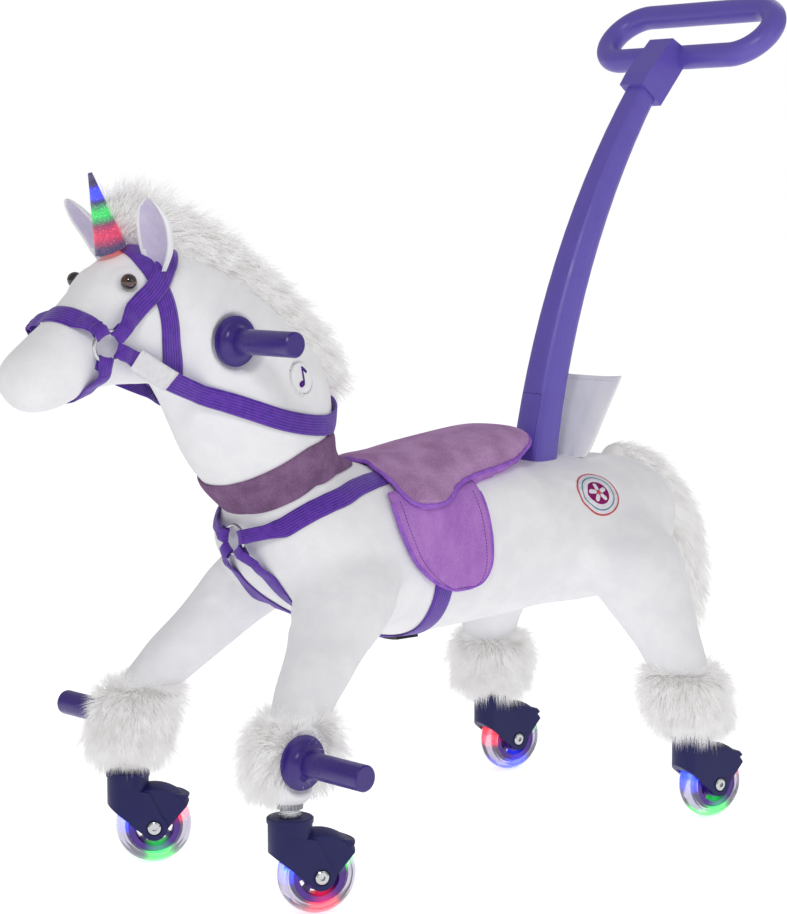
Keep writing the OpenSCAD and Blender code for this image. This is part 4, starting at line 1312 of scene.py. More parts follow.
@dataclass
class Shop:
    """The materials that the sub-assemblies share."""

    plush: Material
    lining: Material
    fur: Material
    velour: Material
    collar: Material
    felt: Material
    trim: Material
    webbing: Material
    label: Material
    nickel: Material
    steel: Material
    grip: Material
    pole: Material
    fork: Material
    buckle: Material
    pale: Material
    plum: Material
    teal: Material
    coral: Material
    thread: Material

    @classmethod
    def stocked(cls) -> Shop:
        """Makes every shared finish.

        Returns:
            The shop with all its finishes.
        """
        return cls(
            # Short white velboa plush: soft mottled nap, almost no shine
            plush=PlushFinish("plush").make(),
            # Lavender velour of the ear linings
            lining=ClothFinish("ear_lining", "#DCD6EA", "#C9C0DC", 0.02, 0.001).make(),
            # Long ivory acrylic fur, with painted shade at its roots and a painted glow
            fur=FurFinish("fur").make(),
            # Mauve velour of the seat: brushed nap with light and dark strokes
            velour=ClothFinish("velour", "#C29AC6", "#9C739F", 0.03, 0.0012, sheen=0.6).make(),
            # Darker mauve velour of the padded collar
            collar=ClothFinish("collar_velour", "#8C6C90", "#6E5072", 0.02, 0.0012, sheen=0.4).make(),
            # Orchid wool felt of the saddle flaps: matted fibres, no shine
            felt=ClothFinish("felt", "#BA86D1", "#A76FC3", 0.02, 0.0012, (1.0, 1.0, 0.5), 0.25).make(),
            # Lilac bias binding and piping
            trim=ClothFinish("trim", "#A873D6", "#8A55BE", 0.012, 0.0009, sheen=0.3).make(),
            # Purple polyester webbing: lengthwise ribs
            webbing=WebbingFinish("webbing").make(),
            # Blank white woven label: tight satin weave
            label=WebbingFinish("label", "#F7F6F8", "#E2E0E8", 0.0011, 0.0011).make(),
            # Bright nickel plate
            nickel=MetalFinish("nickel").make(),
            # Grey powder coat on the frame tubes: dull and slightly pebbled
            steel=MetalFinish("frame_steel", "#8F9298", 0.5, 0.3).make(),
            # Deep violet moulded grips and pegs: satin with a clear highlight
            grip=PlasticFinish("grip_plastic", "#392180", 0.3).make(),
            # Lighter violet moulded pole, loop and latch
            pole=PlasticFinish("pole_plastic", "#6858BC", 0.36).make(),
            # Navy violet caster forks: duller glass-filled nylon
            fork=PlasticFinish("fork_plastic", "#1D1E5A", 0.42, 0.3).make(),
            # Black nylon slide buckle: hard gloss
            buckle=PlasticFinish("buckle_plastic", "#15141A", 0.28).make(),
            # Embroidery threads of the rump badge: rayon with a silk sheen
            pale=ClothFinish("pale_thread", "#F4F1F6", "#DDD8E6", 0.006, 0.0006, sheen=0.4).make(),
            plum=ClothFinish("plum_thread", "#97246F", "#7A1558", 0.006, 0.0006, sheen=0.4).make(),
            teal=ClothFinish("teal_thread", "#63A7AE", "#48868E", 0.006, 0.0006, sheen=0.4).make(),
            coral=ClothFinish("coral_thread", "#E0686A", "#BF4A50", 0.006, 0.0006, sheen=0.4).make(),
            # Dark violet sewing thread
            thread=ClothFinish("thread", "#5C3190", "#45226F", 0.004, 0.0005, sheen=0.2).make(),
        )


# Places along an ear: X, Y, height over the spine, half depth and half width in millimetres
EAR = [
    (346, 36, 320, 9, 8), (351, 41, 336, 12, 18), (356, 46, 350, 13, 21), (364, 53, 365, 11, 20),
    (371, 58, 377, 8, 14), (375, 61, 384, 4.5, 7), (376, 62, 386.5, 1.2, 1.6),
]  # fmt: skip
# Soft folds of the skin: points in the CAD layout, depth and half width in millimetres
FOLDS = [
    ([(-205, 96, 262), (-225, 104, 268), (-252, 110, 274), (-275, 108, 282)], 3.2, 6.0),
    ([(-214, 92, 240), (-232, 112, 232), (-258, 130, 226), (-285, 138, 228)], 2.2, 6.0),
    ([(118, 86, 262), (146, 92, 252), (172, 96, 240)], 3.0, 6.0),
    ([(205, 60, 262), (196, 78, 248), (190, 88, 240)], 2.0, 5.0),
    ([(-150, 84, 346), (-165, 78, 354), (-182, 66, 362)], 1.4, 4.0),
    ([(-160, 90, 338), (-180, 84, 346), (-200, 74, 354)], 1.2, 4.0),
]


# Station X and angle of the near eye on the head
EYE_AT = (382.0, 54.0)


def eye_place(side: Side) -> tuple[np.ndarray, np.ndarray]:
    """Centre and outward direction of an eye button.

    Args:
        side: The eye's side.

    Returns:
        The centre and the direction.
    """
    spot = HEAD.station(EYE_AT[0]), EYE_AT[1]
    out = HEAD.outward(*spot)
    return side.turned(HEAD.on(*spot) + out * MM), side.turned(out)


@dataclass
class PlushBody:
    """The stuffed body: torso, neck, head and four legs sewn into one skin, with two ears."""

    voxel: float = 0.0064
    shrink: float = 0.0022
    stuffed: float = 0.0045
    # Where the filled back begins and ends along X and over what length, in millimetres
    back_rear: tuple = (-170.0, 60.0)
    back_front: tuple = (92.0, 70.0)
    back_shell: tuple = (0.8, 1.2)
    back_square: float = 3.5
    back_rise: float = 0.06
    # Waves per metre of the cloth's unevenness and its height
    wave_counts: tuple = (17.0, 41.0)
    wave_height: float = 0.0011
    # Height, radius and half width of the ring round an eye, depth and half width of the dent in it
    eye_ring: tuple = (0.0026, 0.0145, 0.0055)
    eye_dent: tuple = (0.0022, 0.009)
    # Half distance between the flange beds, the flanges' radii, and how the beds run out
    grip_bed: float = 0.0496
    grip_flange: float = 0.0244
    peg_bed: float = 0.1386
    peg_flange: float = 0.0264
    bed_slope: float = 1.3
    bed_reach: float = 0.03
    sound_radius: float = 0.0151
    sound_depth: float = 0.0086
    sound_reach: float = 0.02
    sound_lip: float = 0.00005
    foot_top: float = 0.15
    tube_reach: float = 0.025
    tube_gap: float = 0.005
    ear_cup: float = 1.5
    ear_turn: float = 6.0
    ear_sides: int = 40
    skin: Object | None = None
    surface: Surface | None = None

    def build(self, shop: Shop, tubes: Object) -> None:
        """Sews, stuffs and shapes the skin.

        Args:
            shop: The shared finishes.
            tubes: The frame's leg tubes, which the skin clears.
        """
        skin = new_object("plush_skin", *self.forms(), shop.plush)
        remesh(skin, self.voxel)
        relax(skin.data, 7, 0.5)
        set_coords(skin.data, coords(skin.data) - normals(skin.data) * self.shrink)
        swell(skin, self.stuffed)
        relax(skin.data, 2, 0.4)
        subdivide(skin)
        self.skin = skin
        self.fill_back()
        self.fold()
        self.wrap(tubes)
        self.press_flanges()
        self.surface = Surface(skin)
        self.sink_sound()
        dressed(skin, "plush", "torso", "neck", "head", *(f"{corner.prefix}_leg" for corner in Corner))

    @staticmethod
    def forms() -> tuple[np.ndarray, list]:
        """All the stuffed forms as closed shells in one mesh.

        Returns:
            Vertices and faces.
        """
        parts = [TORSO.solid(64), NECK.solid(56), HEAD.solid(56)]
        for leg in (FRONT_LEG, REAR_LEG):
            verts, faces = leg.solid(40, share=1.05)
            parts += [(verts, faces), (flip(verts), [face[::-1] for face in faces])]
        return joined(parts)

    def fill_back(self) -> None:
        """Fills the shoulders of the back under the saddle, which are squarer than an ellipse."""
        mesh = self.skin.data
        co = coords(mesh)
        rings = TORSO.rings[::-1]
        lines = rings[:, 0, 2], rings[:, 1, 2], rings[:, 2, 1]
        middle, up, wide = (np.interp(co[:, 0], rings[:, 0, 0], line) for line in lines)
        u, v = co[:, 1] / wide, (co[:, 2] - middle) / up
        far = np.hypot(u, v)
        sine, cosine = (part / np.maximum(far, 1e-9) for part in (np.abs(u), np.maximum(v, 0.0)))
        square = 1 / (sine**self.back_square + cosine**self.back_square) ** (1 / self.back_square)
        x = co[:, 0] / MM
        (rear, rear_ramp), (front, front_ramp) = self.back_rear, self.back_front
        share = ease((x - rear) / rear_ramp) * ease((front - x) / front_ramp)
        share = share * (v > 0) * (far > self.back_shell[0]) * (far < self.back_shell[1])
        grow = 1 + (square - 1 + self.back_rise * cosine**2) * share
        co[:, 1] = u * grow * wide
        co[:, 2] = middle + v * grow * up
        set_coords(mesh, co)

    def wrap(self, tubes: Object) -> None:
        """Keeps the skin a little outside the tubes down to the feet.

        Args:
            tubes: The frame's leg tubes.
        """
        mesh = self.skin.data
        co, out = coords(mesh), normals(mesh)
        spots = [tubes.matrix_world @ v.co for v in tubes.data.vertices]
        tree = BVHTree.FromPolygons(spots, [tuple(p.vertices) for p in tubes.data.polygons])
        moved = np.zeros(len(co))
        for i, p in enumerate(co):
            if p[2] < self.foot_top:
                continue
            hit, *_ = tree.find_nearest(Vector(p), self.tube_reach)
            if hit is not None:
                moved[i] = max(0.0, self.tube_gap - float(np.dot(p - np.array(hit), out[i])))
        set_coords(mesh, co + out * moved[:, None])
        pushed = moved > 0
        log.info("skin moved off the tubes at %d places, by up to %.1f mm", pushed.sum(), moved.max() / MM)
        if pushed.any():
            relax(mesh, 3, 0.4, pushed.astype(float))

    def fold(self) -> None:
        """Adds the soft folds and the dented eye places of stuffed cloth."""
        mesh = self.skin.data
        co, out = coords(mesh), normals(mesh)
        coarse, fine = self.wave_counts
        wave = [noise.noise(Vector(p) * coarse) + 0.5 * noise.noise(Vector(p) * fine) for p in co]
        move = np.array(wave) * self.wave_height
        for line, deep, wide in FOLDS:
            for side in Side:
                path = evenly(smooth([place(x, y * side.value, z) for x, y, z in line], 6), 0.004)
                far = np.full(len(co), 1.0)
                for p in path:
                    far = np.minimum(far, np.linalg.norm(co - p, axis=1))
                move -= deep * MM * np.exp(-((far / (wide * MM)) ** 2))
                move += 0.5 * deep * MM * np.exp(-(((far - 2.4 * wide * MM) / (1.3 * wide * MM)) ** 2))
        high, radius, half = self.eye_ring
        deep, wide = self.eye_dent
        for side in Side:
            far = np.linalg.norm(co - eye_place(side)[0], axis=1)
            move += high * np.exp(-(((far - radius) / half) ** 2)) - deep * np.exp(-((far / wide) ** 2))
        set_coords(mesh, co + out * move[:, None])

    def press_flanges(self) -> None:
        """Presses flat beds for the grip and peg flanges."""
        mesh = self.skin.data
        co = coords(mesh)
        beds = ((GRIP_AT, self.grip_bed, self.grip_flange), (PEG_AT, self.peg_bed, self.peg_flange))
        for at, deep, radius in beds:
            centre = place(*at)
            far = np.hypot(co[:, 0] - centre[0], co[:, 2] - centre[2])
            limit = deep + np.maximum(0.0, far - radius) * self.bed_slope
            high = (far < radius + self.bed_reach) & (np.abs(co[:, 1]) > limit)
            co[high, 1] = np.sign(co[high, 1]) * limit[high]
        set_coords(mesh, co)

    def sink_sound(self) -> None:
        """Leaves a round well in the neck for the sound button."""
        mesh = self.skin.data
        co = coords(mesh)
        centre, out = NECK.on(*SOUND_AT), NECK.outward(*SOUND_AT)
        v = co - centre
        high = v @ out
        flat = v - high[:, None] * out
        far = np.linalg.norm(flat, axis=1)
        inside = (np.abs(high) < self.sound_reach) & (far < self.sound_radius)
        ends = np.array([tuple(e.vertices) for e in mesh.edges])
        touch = np.zeros(len(co), bool)
        touch[ends[inside[ends[:, 0]] != inside[ends[:, 1]]].ravel()] = True
        edge, lip = touch & inside, touch & ~inside
        spread = flat / np.maximum(far, 1e-9)[:, None]
        radial = np.where(edge, self.sound_radius, np.where(lip, self.sound_radius + self.sound_lip, far))
        level = np.where(inside, -self.sound_depth, high)
        moved = centre + spread * radial[:, None] + level[:, None] * out
        pick = inside | lip
        co[pick] = moved[pick]
        set_coords(mesh, co)
        for face in mesh.polygons:
            spots = list(face.vertices)
            if inside[spots].any() and lip[spots].any():
                face.use_smooth = False

    def ears(self, shop: Shop) -> None:
        """Two cupped ears with lavender linings.

        Args:
            shop: The shared finishes.
        """
        a = math.radians(self.ear_turn)
        front = np.array([math.cos(a), math.sin(a), 0])
        side = np.array([-math.sin(a), math.cos(a), 0])
        rows = smooth([[*place(x, y, SPINE_Z + h), deep, half] for x, y, h, deep, half in EAR], 10)
        n, sides = len(rows), self.ear_sides
        verts, lined = [], []
        for i, (*middle, deep, half) in enumerate(rows):
            for k in range(sides):
                c, s = math.cos(2 * math.pi * k / sides), math.sin(2 * math.pi * k / sides)
                cupped = deep * c if c < 0 else deep * (c - self.ear_cup * c * c)
                verts.append(middle + (front * cupped + side * half * s) * MM)
                # The lining is a leaf shape on the front
                edge = 0.58 + 0.42 * abs(2.15 * i / n - 1) ** 3
                lined.append(math.cos(2 * math.pi * (k + 0.5) / sides) > edge)
        faces = ring_faces(n, sides) + flat_ends(n, sides)
        for hand in Side:
            points = hand.turned(np.array(verts))
            ear = new_object(f"ear_{hand.name.lower()}", points, faces, shop.plush, shop.lining)
            for face, flag in zip(ear.data.polygons, lined[: -sides] + [False, False]):
                face.material_index = int(flag)
            dressed(ear, "plush", "ears")


# Rows of a fetlock cuff: radius, height over the floor, shift along X and towards the middle, in millimetres
FRONT_CUFF = [
    (25, 121, 0, 0), (31, 123, 0, 0), (34.5, 130, 0, 0), (36, 143, 0, 0), (36, 156, -3, 2),
    (35.5, 166, -7, 4), (34, 174, -11, 6), (30, 179, -15, 8),
]  # fmt: skip
REAR_CUFF = [
    (26, 112, 0, 0), (32, 114, 1, 0), (35, 121, 2, 1), (36.5, 131, 3, 2), (37, 142, 5, 4), (37, 151, 7, 6),
    (36, 157, 9, 8), (32, 161, 10, 10),
]  # fmt: skip


@dataclass
class FurTrim:
    """Mane with forelock, tail and four fetlock cuffs."""

    mane_pile: Pile = Pile(300000.0, 0.024, 0.0004, 0.12, 0.55, 0.17, 0.014, 11)
    tail_pile: Pile = Pile(300000.0, 0.032, 0.00042, 0.2, 0.5, 0.14, 0.014, 23)
    cuff_pile: Pile = Pile(540000.0, 0.025, 0.0004, 0.22, 0.55, 0.17, 0.013, 37)
    # Share of each CAD form that the strands grow on
    mane_bed: float = 0.7
    tail_bed: float = 0.84
    bed_sides: int = 28
    # Shares of the comb off the skin, along the mane and up it, with their change at the forelock
    mane_off: float = 0.4
    mane_along: tuple = (0.75, -0.4)
    mane_up: tuple = (0.12, 0.6)
    tail_off: float = 0.42
    # Where the forelock begins along X and over what length, in millimetres
    forelock: tuple = (290.0, 50.0)
    # How far the near front cuff is brushed up at its lower rows, in millimetres
    brushed_up: float = 9.0
    cuff_sides: int = 48
    # Shares of the cuffs' comb: off the skin, and down at the foot with its change at the top
    cuff_off: float = 0.6
    cuff_fall: tuple = (-0.8, 0.42)
    # Half distance to the foot peg's flange, and where the strands are parted round it
    peg_face: float = 0.138
    peg_bed: float = 0.03
    peg_slope: float = 1.5
    parted_beyond: float = 0.128
    parting: tuple = (0.024, 0.022)
    # How strongly the parted strands are drawn aside and laid flat
    drawn_aside: float = 1.6
    laid_flat: float = 0.3

    def build(self, shop: Shop) -> None:
        """Grows every trim on its base.

        Args:
            shop: The shared finishes.
        """
        tree = fur_tree(shop.fur)
        self.mane(shop, tree)
        self.tail(shop, tree)
        for corner in Corner:
            self.cuff(shop, tree, corner)
        bpy.data.node_groups.remove(tree)

    @staticmethod
    def grow(obj: Object, tree: NodeTree, comb: np.ndarray, pile: Pile) -> Object:
        """Grows strands on a base.

        Args:
            obj: The base.
            tree: The fur tree.
            comb: Direction of the strands at each vertex.
            pile: The cut of the fur.

        Returns:
            The base with its strands.
        """
        mesh = obj.data
        layer = mesh.attributes.new("comb", "FLOAT_VECTOR", "POINT")
        layer.data.foreach_set("vector", unit(comb).astype(np.float32).ravel())
        mesh.attributes.new("t", "FLOAT", "POINT")
        run_tree(obj, tree, named(pile))
        log.info("%s has %d faces", obj.name, len(obj.data.polygons))
        return obj

    @staticmethod
    def flow(loft: Loft, co: np.ndarray) -> tuple[np.ndarray, np.ndarray]:
        """Directions of a fur form near given points.

        Args:
            loft: The form.
            co: The points.

        Returns:
            Directions along the form and up its height at the stations nearest to the points.
        """
        line = loft.rings[:, 0]
        near = np.argmin(np.linalg.norm(co[:, None] - line[None], axis=2), axis=1)
        return unit(np.gradient(line, axis=0))[near], unit(loft.rings[:, 1])[near]

    def mane(self, shop: Shop, tree: NodeTree) -> None:
        """Mane brushed up and back from its seam, ending in a forelock.

        Args:
            shop: The shared finishes.
            tree: The fur tree.
        """
        base = new_object("mane_fur", *MANE.solid(self.bed_sides, 3, self.mane_bed), shop.fur)
        co = coords(base.data)
        along, up = self.flow(MANE, co)
        front = ease((co[:, 0] / MM - self.forelock[0]) / self.forelock[1])[:, None]
        (back, back_more), (rise, rise_more) = self.mane_along, self.mane_up
        comb = self.mane_off * normals(base.data) + (back + back_more * front) * along
        comb = comb + (rise + rise_more * front) * up
        dressed(self.grow(base, tree, comb, self.mane_pile), "fur", "mane")

    def tail(self, shop: Shop, tree: NodeTree) -> None:
        """Long tail that hangs off the rump.

        Args:
            shop: The shared finishes.
            tree: The fur tree.
        """
        base = new_object("tail_fur", *TAIL.solid(self.bed_sides, 3, self.tail_bed), shop.fur)
        along, _ = self.flow(TAIL, coords(base.data))
        comb = self.tail_off * normals(base.data) + along
        dressed(self.grow(base, tree, comb, self.tail_pile), "fur", "tail")

    def cuff(self, shop: Shop, tree: NodeTree, corner: Corner) -> None:
        """Fur cuff round one fetlock, left open at the foot peg.

        Args:
            shop: The shared finishes.
            tree: The fur tree.
            corner: The cuff's corner.
        """
        x, y, _ = corner.value
        front = x > 0
        rows = smooth(FRONT_CUFF if front else REAR_CUFF, 3)
        if corner is Corner.FRONT_LEFT:
            rows[:, 1] += self.brushed_up * (1 - np.linspace(0, 1, len(rows)))
        n, sides = len(rows), self.cuff_sides
        points = np.array(
            [
                place(x + dx + r * math.cos(t), abs(y) - dy + r * math.sin(t), h)
                for r, h, dx, dy in rows
                for t in np.linspace(0, 2 * math.pi, sides, endpoint=False)
            ]
        )
        peg = place(*PEG_AT)
        far = np.hypot(points[:, 0] - peg[0], points[:, 2] - peg[2])
        if front:
            limit = self.peg_face + np.maximum(0.0, far - self.peg_bed) * self.peg_slope
            points[:, 1] = np.minimum(points[:, 1], limit)
        faces = ring_faces(n, sides) + flat_ends(n, sides)
        base = new_object(f"{corner.prefix}_cuff_fur", points if y > 0 else flip(points), faces, shop.fur)
        out, co = normals(base.data), coords(base.data)
        up = (co[:, 2] - co[:, 2].min()) / np.ptp(co[:, 2])
        comb = self.cuff_off * out
        comb[:, 2] += self.cuff_fall[0] + self.cuff_fall[1] * up**2
        if front:
            spread = np.stack([co[:, 0] - peg[0], np.zeros(len(co)), co[:, 2] - peg[2]], axis=1)
            facing = (np.sign(co[:, 1]) == np.sign(y)) & (np.abs(co[:, 1]) > self.parted_beyond)
            parted = self.drawn_aside * (1 - ease((far - self.parting[0]) / self.parting[1]))
            pull = np.where(facing, parted, 0.0)[:, None]
            comb = comb + unit(spread) * pull - out * self.laid_flat * pull
        dressed(self.grow(base, tree, comb, self.cuff_pile), "fur", "fetlock_cuffs")


@dataclass
class Strap:
    """A webbing band laid on the skin, hooked round rings where it ends at one."""

    points: np.ndarray
    outs: np.ndarray
    width: float = 0.020
    lift: float = 0.0007
    thick: float = 0.0019
    laid: np.ndarray | None = None
    rise: np.ndarray | None = None
    bow: np.ndarray | None = None
    ring: float = 0.014
    pinch: float = 0.3
    across: int = 9
    # Radius of the bend round a ring's wire, lap before it and steps tucked back under
    bend: float = 0.0033
    lap: float = 0.006
    tucks: tuple = (0.005, 0.010)
    outer: np.ndarray = field(init=False)

    def hook(self, at_start: bool, centre: np.ndarray, normal: np.ndarray, lead: float = 0.022) -> Strap:
        """Wraps an end round a ring's wire and tucks it back under.

        Args:
            at_start: Which end is wrapped.
            centre: The ring's centre.
            normal: The ring's axis, away from the skin.
            lead: Length over which the strap climbs from the skin to the ring.

        Returns:
            The strap itself.
        """
        order = slice(None, None, -1) if at_start else slice(None)
        points, outs = self.points[order].copy(), self.outs[order]
        laid = np.ones(len(points), bool) if self.laid is None else self.laid[order].copy()
        bow = np.zeros_like(points) if self.bow is None else self.bow[order].copy()
        to_ring = centre - points[-1]
        toward = unit(to_ring - normal * np.dot(to_ring, normal))
        wire = centre - toward * self.ring
        climb = ease(1 - np.clip(np.linalg.norm(points - points[-1], axis=1) / lead, 0, 1))
        rise = float(np.dot(wire + normal * self.bend - points[-1], outs[-1]))
        lifts = np.zeros(len(points)) if self.rise is None else self.rise[order].copy()
        lifts += max(rise, 0.0) * climb * laid
        bow += toward * climb[:, None]
        turn = [math.radians(a) for a in range(90, -91, -30)]
        round_wire = [math.cos(a) * toward + math.sin(a) * normal for a in turn]
        spots = [wire + normal * self.bend - toward * self.lap]
        spots += [wire + self.bend * way for way in round_wire]
        spots += [wire - normal * self.bend - toward * tuck for tuck in self.tucks]
        faces = [normal, *round_wire, -normal, -normal]
        points, outs = np.concatenate([points, spots]), np.concatenate([outs, faces])
        laid = np.concatenate([laid, np.zeros(len(spots), bool)])
        bow = np.concatenate([bow, np.tile(toward, (len(spots), 1))])
        lifts = np.concatenate([lifts, np.zeros(len(spots))])
        self.points, self.outs, self.laid, self.bow = points[order], outs[order], laid[order], bow[order]
        self.rise = lifts[order]
        return self

    def mesh(self, skin: Surface | None) -> tuple[np.ndarray, list, list]:
        """The band as a closed mesh.

        Args:
            skin: What the laid points are dropped on, or None for a free band.

        Returns:
            Vertices, faces and UVs per face corner in metres.
        """
        p, n = self.points, unit(self.outs)
        m, w = len(p), 2 * self.across
        side = unit(np.cross(unit(np.gradient(p, axis=0)), n))
        x = np.linspace(-0.5, 0.5, self.across) * self.width
        edge = np.interp(np.abs(x), [0, 0.42 * self.width, 0.5 * self.width], [1.0, 0.92, 0.45])
        reach = np.tile(x, (m, 1))
        if self.bow is not None:
            reach = reach * (1 - self.pinch * np.linalg.norm(self.bow, axis=1))[:, None]
        rows = p[:, None] + side[:, None] * reach[:, :, None]
        if self.bow is not None:
            rows = rows + self.bow[:, None] * (self.ring - np.sqrt(self.ring**2 - reach**2))[:, :, None]
        lift = np.full(m, -self.thick / 2)
        if skin is not None:
            for i in range(m):
                if self.laid is None or self.laid[i]:
                    rows[i] = [skin.drop(spot, n[i])[0] for spot in rows[i]]
                    lift[i] = self.lift
        if self.rise is not None:
            lift = lift + self.rise
        inner = rows + n[:, None] * lift[:, None, None]
        self.outer = inner + n[:, None] * self.thick * edge[None, :, None]
        loop = np.concatenate([self.outer, inner[:, ::-1]], axis=1)
        length, over = distances(p), np.concatenate([x, x[::-1]])
        uvs = []
        for u, v in zip(length, length[1:]):
            for k, q in zip(over, np.roll(over, -1)):
                uvs += [(u, k), (u, q), (v, q), (v, k)]
        uvs += [(0.0, v) for v in over] + [(length[-1], v) for v in over]
        return loop.reshape(-1, 3), ring_faces(m, w) + flat_ends(m, w), uvs

    def seam(self, at: float) -> tuple[np.ndarray, np.ndarray, bool]:
        """A stitch line across the outer face, at a distance from the start or, below 0, from the end.

        Args:
            at: Distance of the line from the strap's end.

        Returns:
            The line's points, its outward directions and False, because it's open.
        """
        length = distances(self.points)
        i = int(np.argmin(np.abs(length - (at if at >= 0 else length[-1] + at))))
        row = self.outer[i, 1:-1]
        return row, np.tile(unit(self.outs[i]), (len(row), 1)), False


def strap_object(name: str, straps: Sequence[Strap], skin: Surface | None, finish: Material) -> Object:
    """One piece of webbing.

    Args:
        name: Object name.
        straps: Its bands.
        skin: What the bands lie on, or None for free bands.
        finish: The webbing's material.

    Returns:
        The object, with UVs in metres.
    """
    meshes = [strap.mesh(skin) for strap in straps]
    uvs = [uv for mesh in meshes for uv in mesh[2]]
    return new_object(name, *joined([mesh[:2] for mesh in meshes]), finish, uvs=uvs)


def laid_path(
    loft: Loft, path: Sequence, steps: int = 6, side: Side = Side.LEFT
) -> tuple[np.ndarray, np.ndarray]:
    """A path on a form that runs along X.

    Args:
        loft: The form.
        path: Pairs of a CAD layout X and an angle, for the left side.
        steps: Steps between two pairs.
        side: The side that it is laid on.

    Returns:
        Points and outward directions.
    """
    rows = smooth([(loft.station(x), a) for x, a in path], steps)
    points, outs = ([get(s, a) for s, a in rows] for get in (loft.on, loft.outward))
    return side.turned(points), side.turned(outs)


@dataclass
class Bridle:
    """Halter of webbing and two rings, reins with a blank woven label, and their stitching."""

    nose_x: float = 413.0
    nose_lean: float = 24.0
    nose_span: tuple = (70.0, -70.0)
    chin_x: float = 417.0
    chin_span: tuple = (118.0, 242.0)
    # Pairs of X and angle on the head
    cheek: tuple = ((396, 87), (386, 82), (357, 68), (338, 50), (327, 34), (320, 22), (315, 12))
    brow: tuple = (
        (350, -2), (357, 16), (357, 32), (354, 52), (349, 72), (346, 88), (341, 108), (329, 134), (322, 160),
    )  # fmt: skip
    over_brow: float = 0.0030
    ring_angle: float = 94.0
    ring_height: float = 0.0073
    # The rein's free points at the near ring, then its stations and angles on the neck
    rein_free: tuple = ((388, 53, 244), (372, 50, 236), (336, 43, 219))
    rein_laid: tuple = ((8.9, 40), (7.5, 60), (5.7, 86), (4.1, 122), (4, 152), (4, 180))
    rein_out: tuple = (0.2, 1.0, -0.1)
    rein_lift: float = 0.0016
    rein_clear: float = 0.0022
    label_rows: tuple = (3, 17)
    label_lift: float = 0.0019
    label_width: float = 0.0215
    label_thick: float = 0.0011
    sewn_at: float = 0.034
    rein_sewn_at: float = 0.036

    def ring(self, side: Side) -> tuple[np.ndarray, np.ndarray]:
        """Centre and axis of a halter ring.

        Args:
            side: The ring's side.

        Returns:
            The centre and the axis.
        """
        s = HEAD.station(self.nose_x)
        out = HEAD.outward(s, self.ring_angle)
        centre = HEAD.on(s, self.ring_angle) + out * self.ring_height
        return side.turned(centre), side.turned(out)

    def between_rings(self, strap: Strap) -> Strap:
        """The strap hooked on the left ring at its start and on the right one at its end."""
        return strap.hook(True, *self.ring(Side.LEFT)).hook(False, *self.ring(Side.RIGHT))

    def build(self, shop: Shop, skin: Surface) -> None:
        """Lays and sews every strap of the bridle.

        Args:
            shop: The shared finishes.
            skin: The plush skin.
        """
        nose = [
            (self.nose_x + self.nose_lean * max(0.0, math.cos(math.radians(a))), a)
            for a in np.linspace(*self.nose_span, 21)
        ]
        chin = [(self.chin_x, a) for a in np.linspace(*self.chin_span, 21)]
        halter = [self.between_rings(Strap(*laid_path(HEAD, path, 2))) for path in (nose, chin)]
        for side in Side:
            over = Strap(*laid_path(HEAD, self.cheek, side=side), lift=self.over_brow)
            halter.append(over.hook(True, *self.ring(side)))
            halter.append(Strap(*laid_path(HEAD, self.brow, side=side)))
        dressed(strap_object("halter_webbing", halter, skin, shop.webbing), "webbing", "halter")
        seams = [strap.seam(at) for strap in halter[:2] for at in (self.sewn_at, -self.sewn_at)]
        seams += [cheek.seam(self.sewn_at) for cheek in halter[2::2]]
        rein = self.reins(shop, skin)
        seams += [rein.seam(at) for at in (self.rein_sewn_at, -self.rein_sewn_at)]
        sew("halter_stitches", seams, Stitch(), shop.thread, "webbing")

    def reins(self, shop: Shop, skin: Surface) -> Strap:
        """The long rein from ring to ring round the back of the neck, with its label.

        Args:
            shop: The shared finishes.
            skin: The plush skin, which the rein clears.

        Returns:
            The rein's strap.
        """
        held = smooth(self.rein_laid, 3)
        laid = np.array([NECK.on(s, a, self.rein_lift) for s, a in held])
        out = np.array([NECK.outward(s, a) for s, a in held])
        free = np.array([place(x, y, SPINE_Z + h) for x, y, h in self.rein_free])
        lead = smooth(np.concatenate([free, laid[:1]]), 4)[:-1]
        turn = np.linspace(0, 1, len(lead))[:, None]
        lead_out = unit(np.array(self.rein_out) * (1 - turn) + out[0] * turn)
        points = np.concatenate([lead, laid])
        outs = np.concatenate([lead_out, out])
        whole = smooth(np.concatenate([points, flip(points[-2::-1])]), 2)
        away = unit(smooth(np.concatenate([outs, flip(outs[-2::-1])]), 2))
        for i, p in enumerate(whole):
            height = float(np.dot(p - skin.drop(p, away[i])[0], away[i]))
            whole[i] = p + away[i] * max(0.0, self.rein_clear - height)
        rein = self.between_rings(Strap(whole, away, laid=np.zeros(len(whole), bool)))
        dressed(strap_object("rein_webbing", [rein], None, shop.webbing), "webbing", "reins")
        spots, outs = (line[slice(*self.label_rows)] for line in (whole, away))
        tab = Strap(spots + outs * self.label_lift, outs, width=self.label_width, thick=self.label_thick)
        dressed(strap_object("rein_label", [tab], None, shop.label), "label", "rein_tab")
        return rein


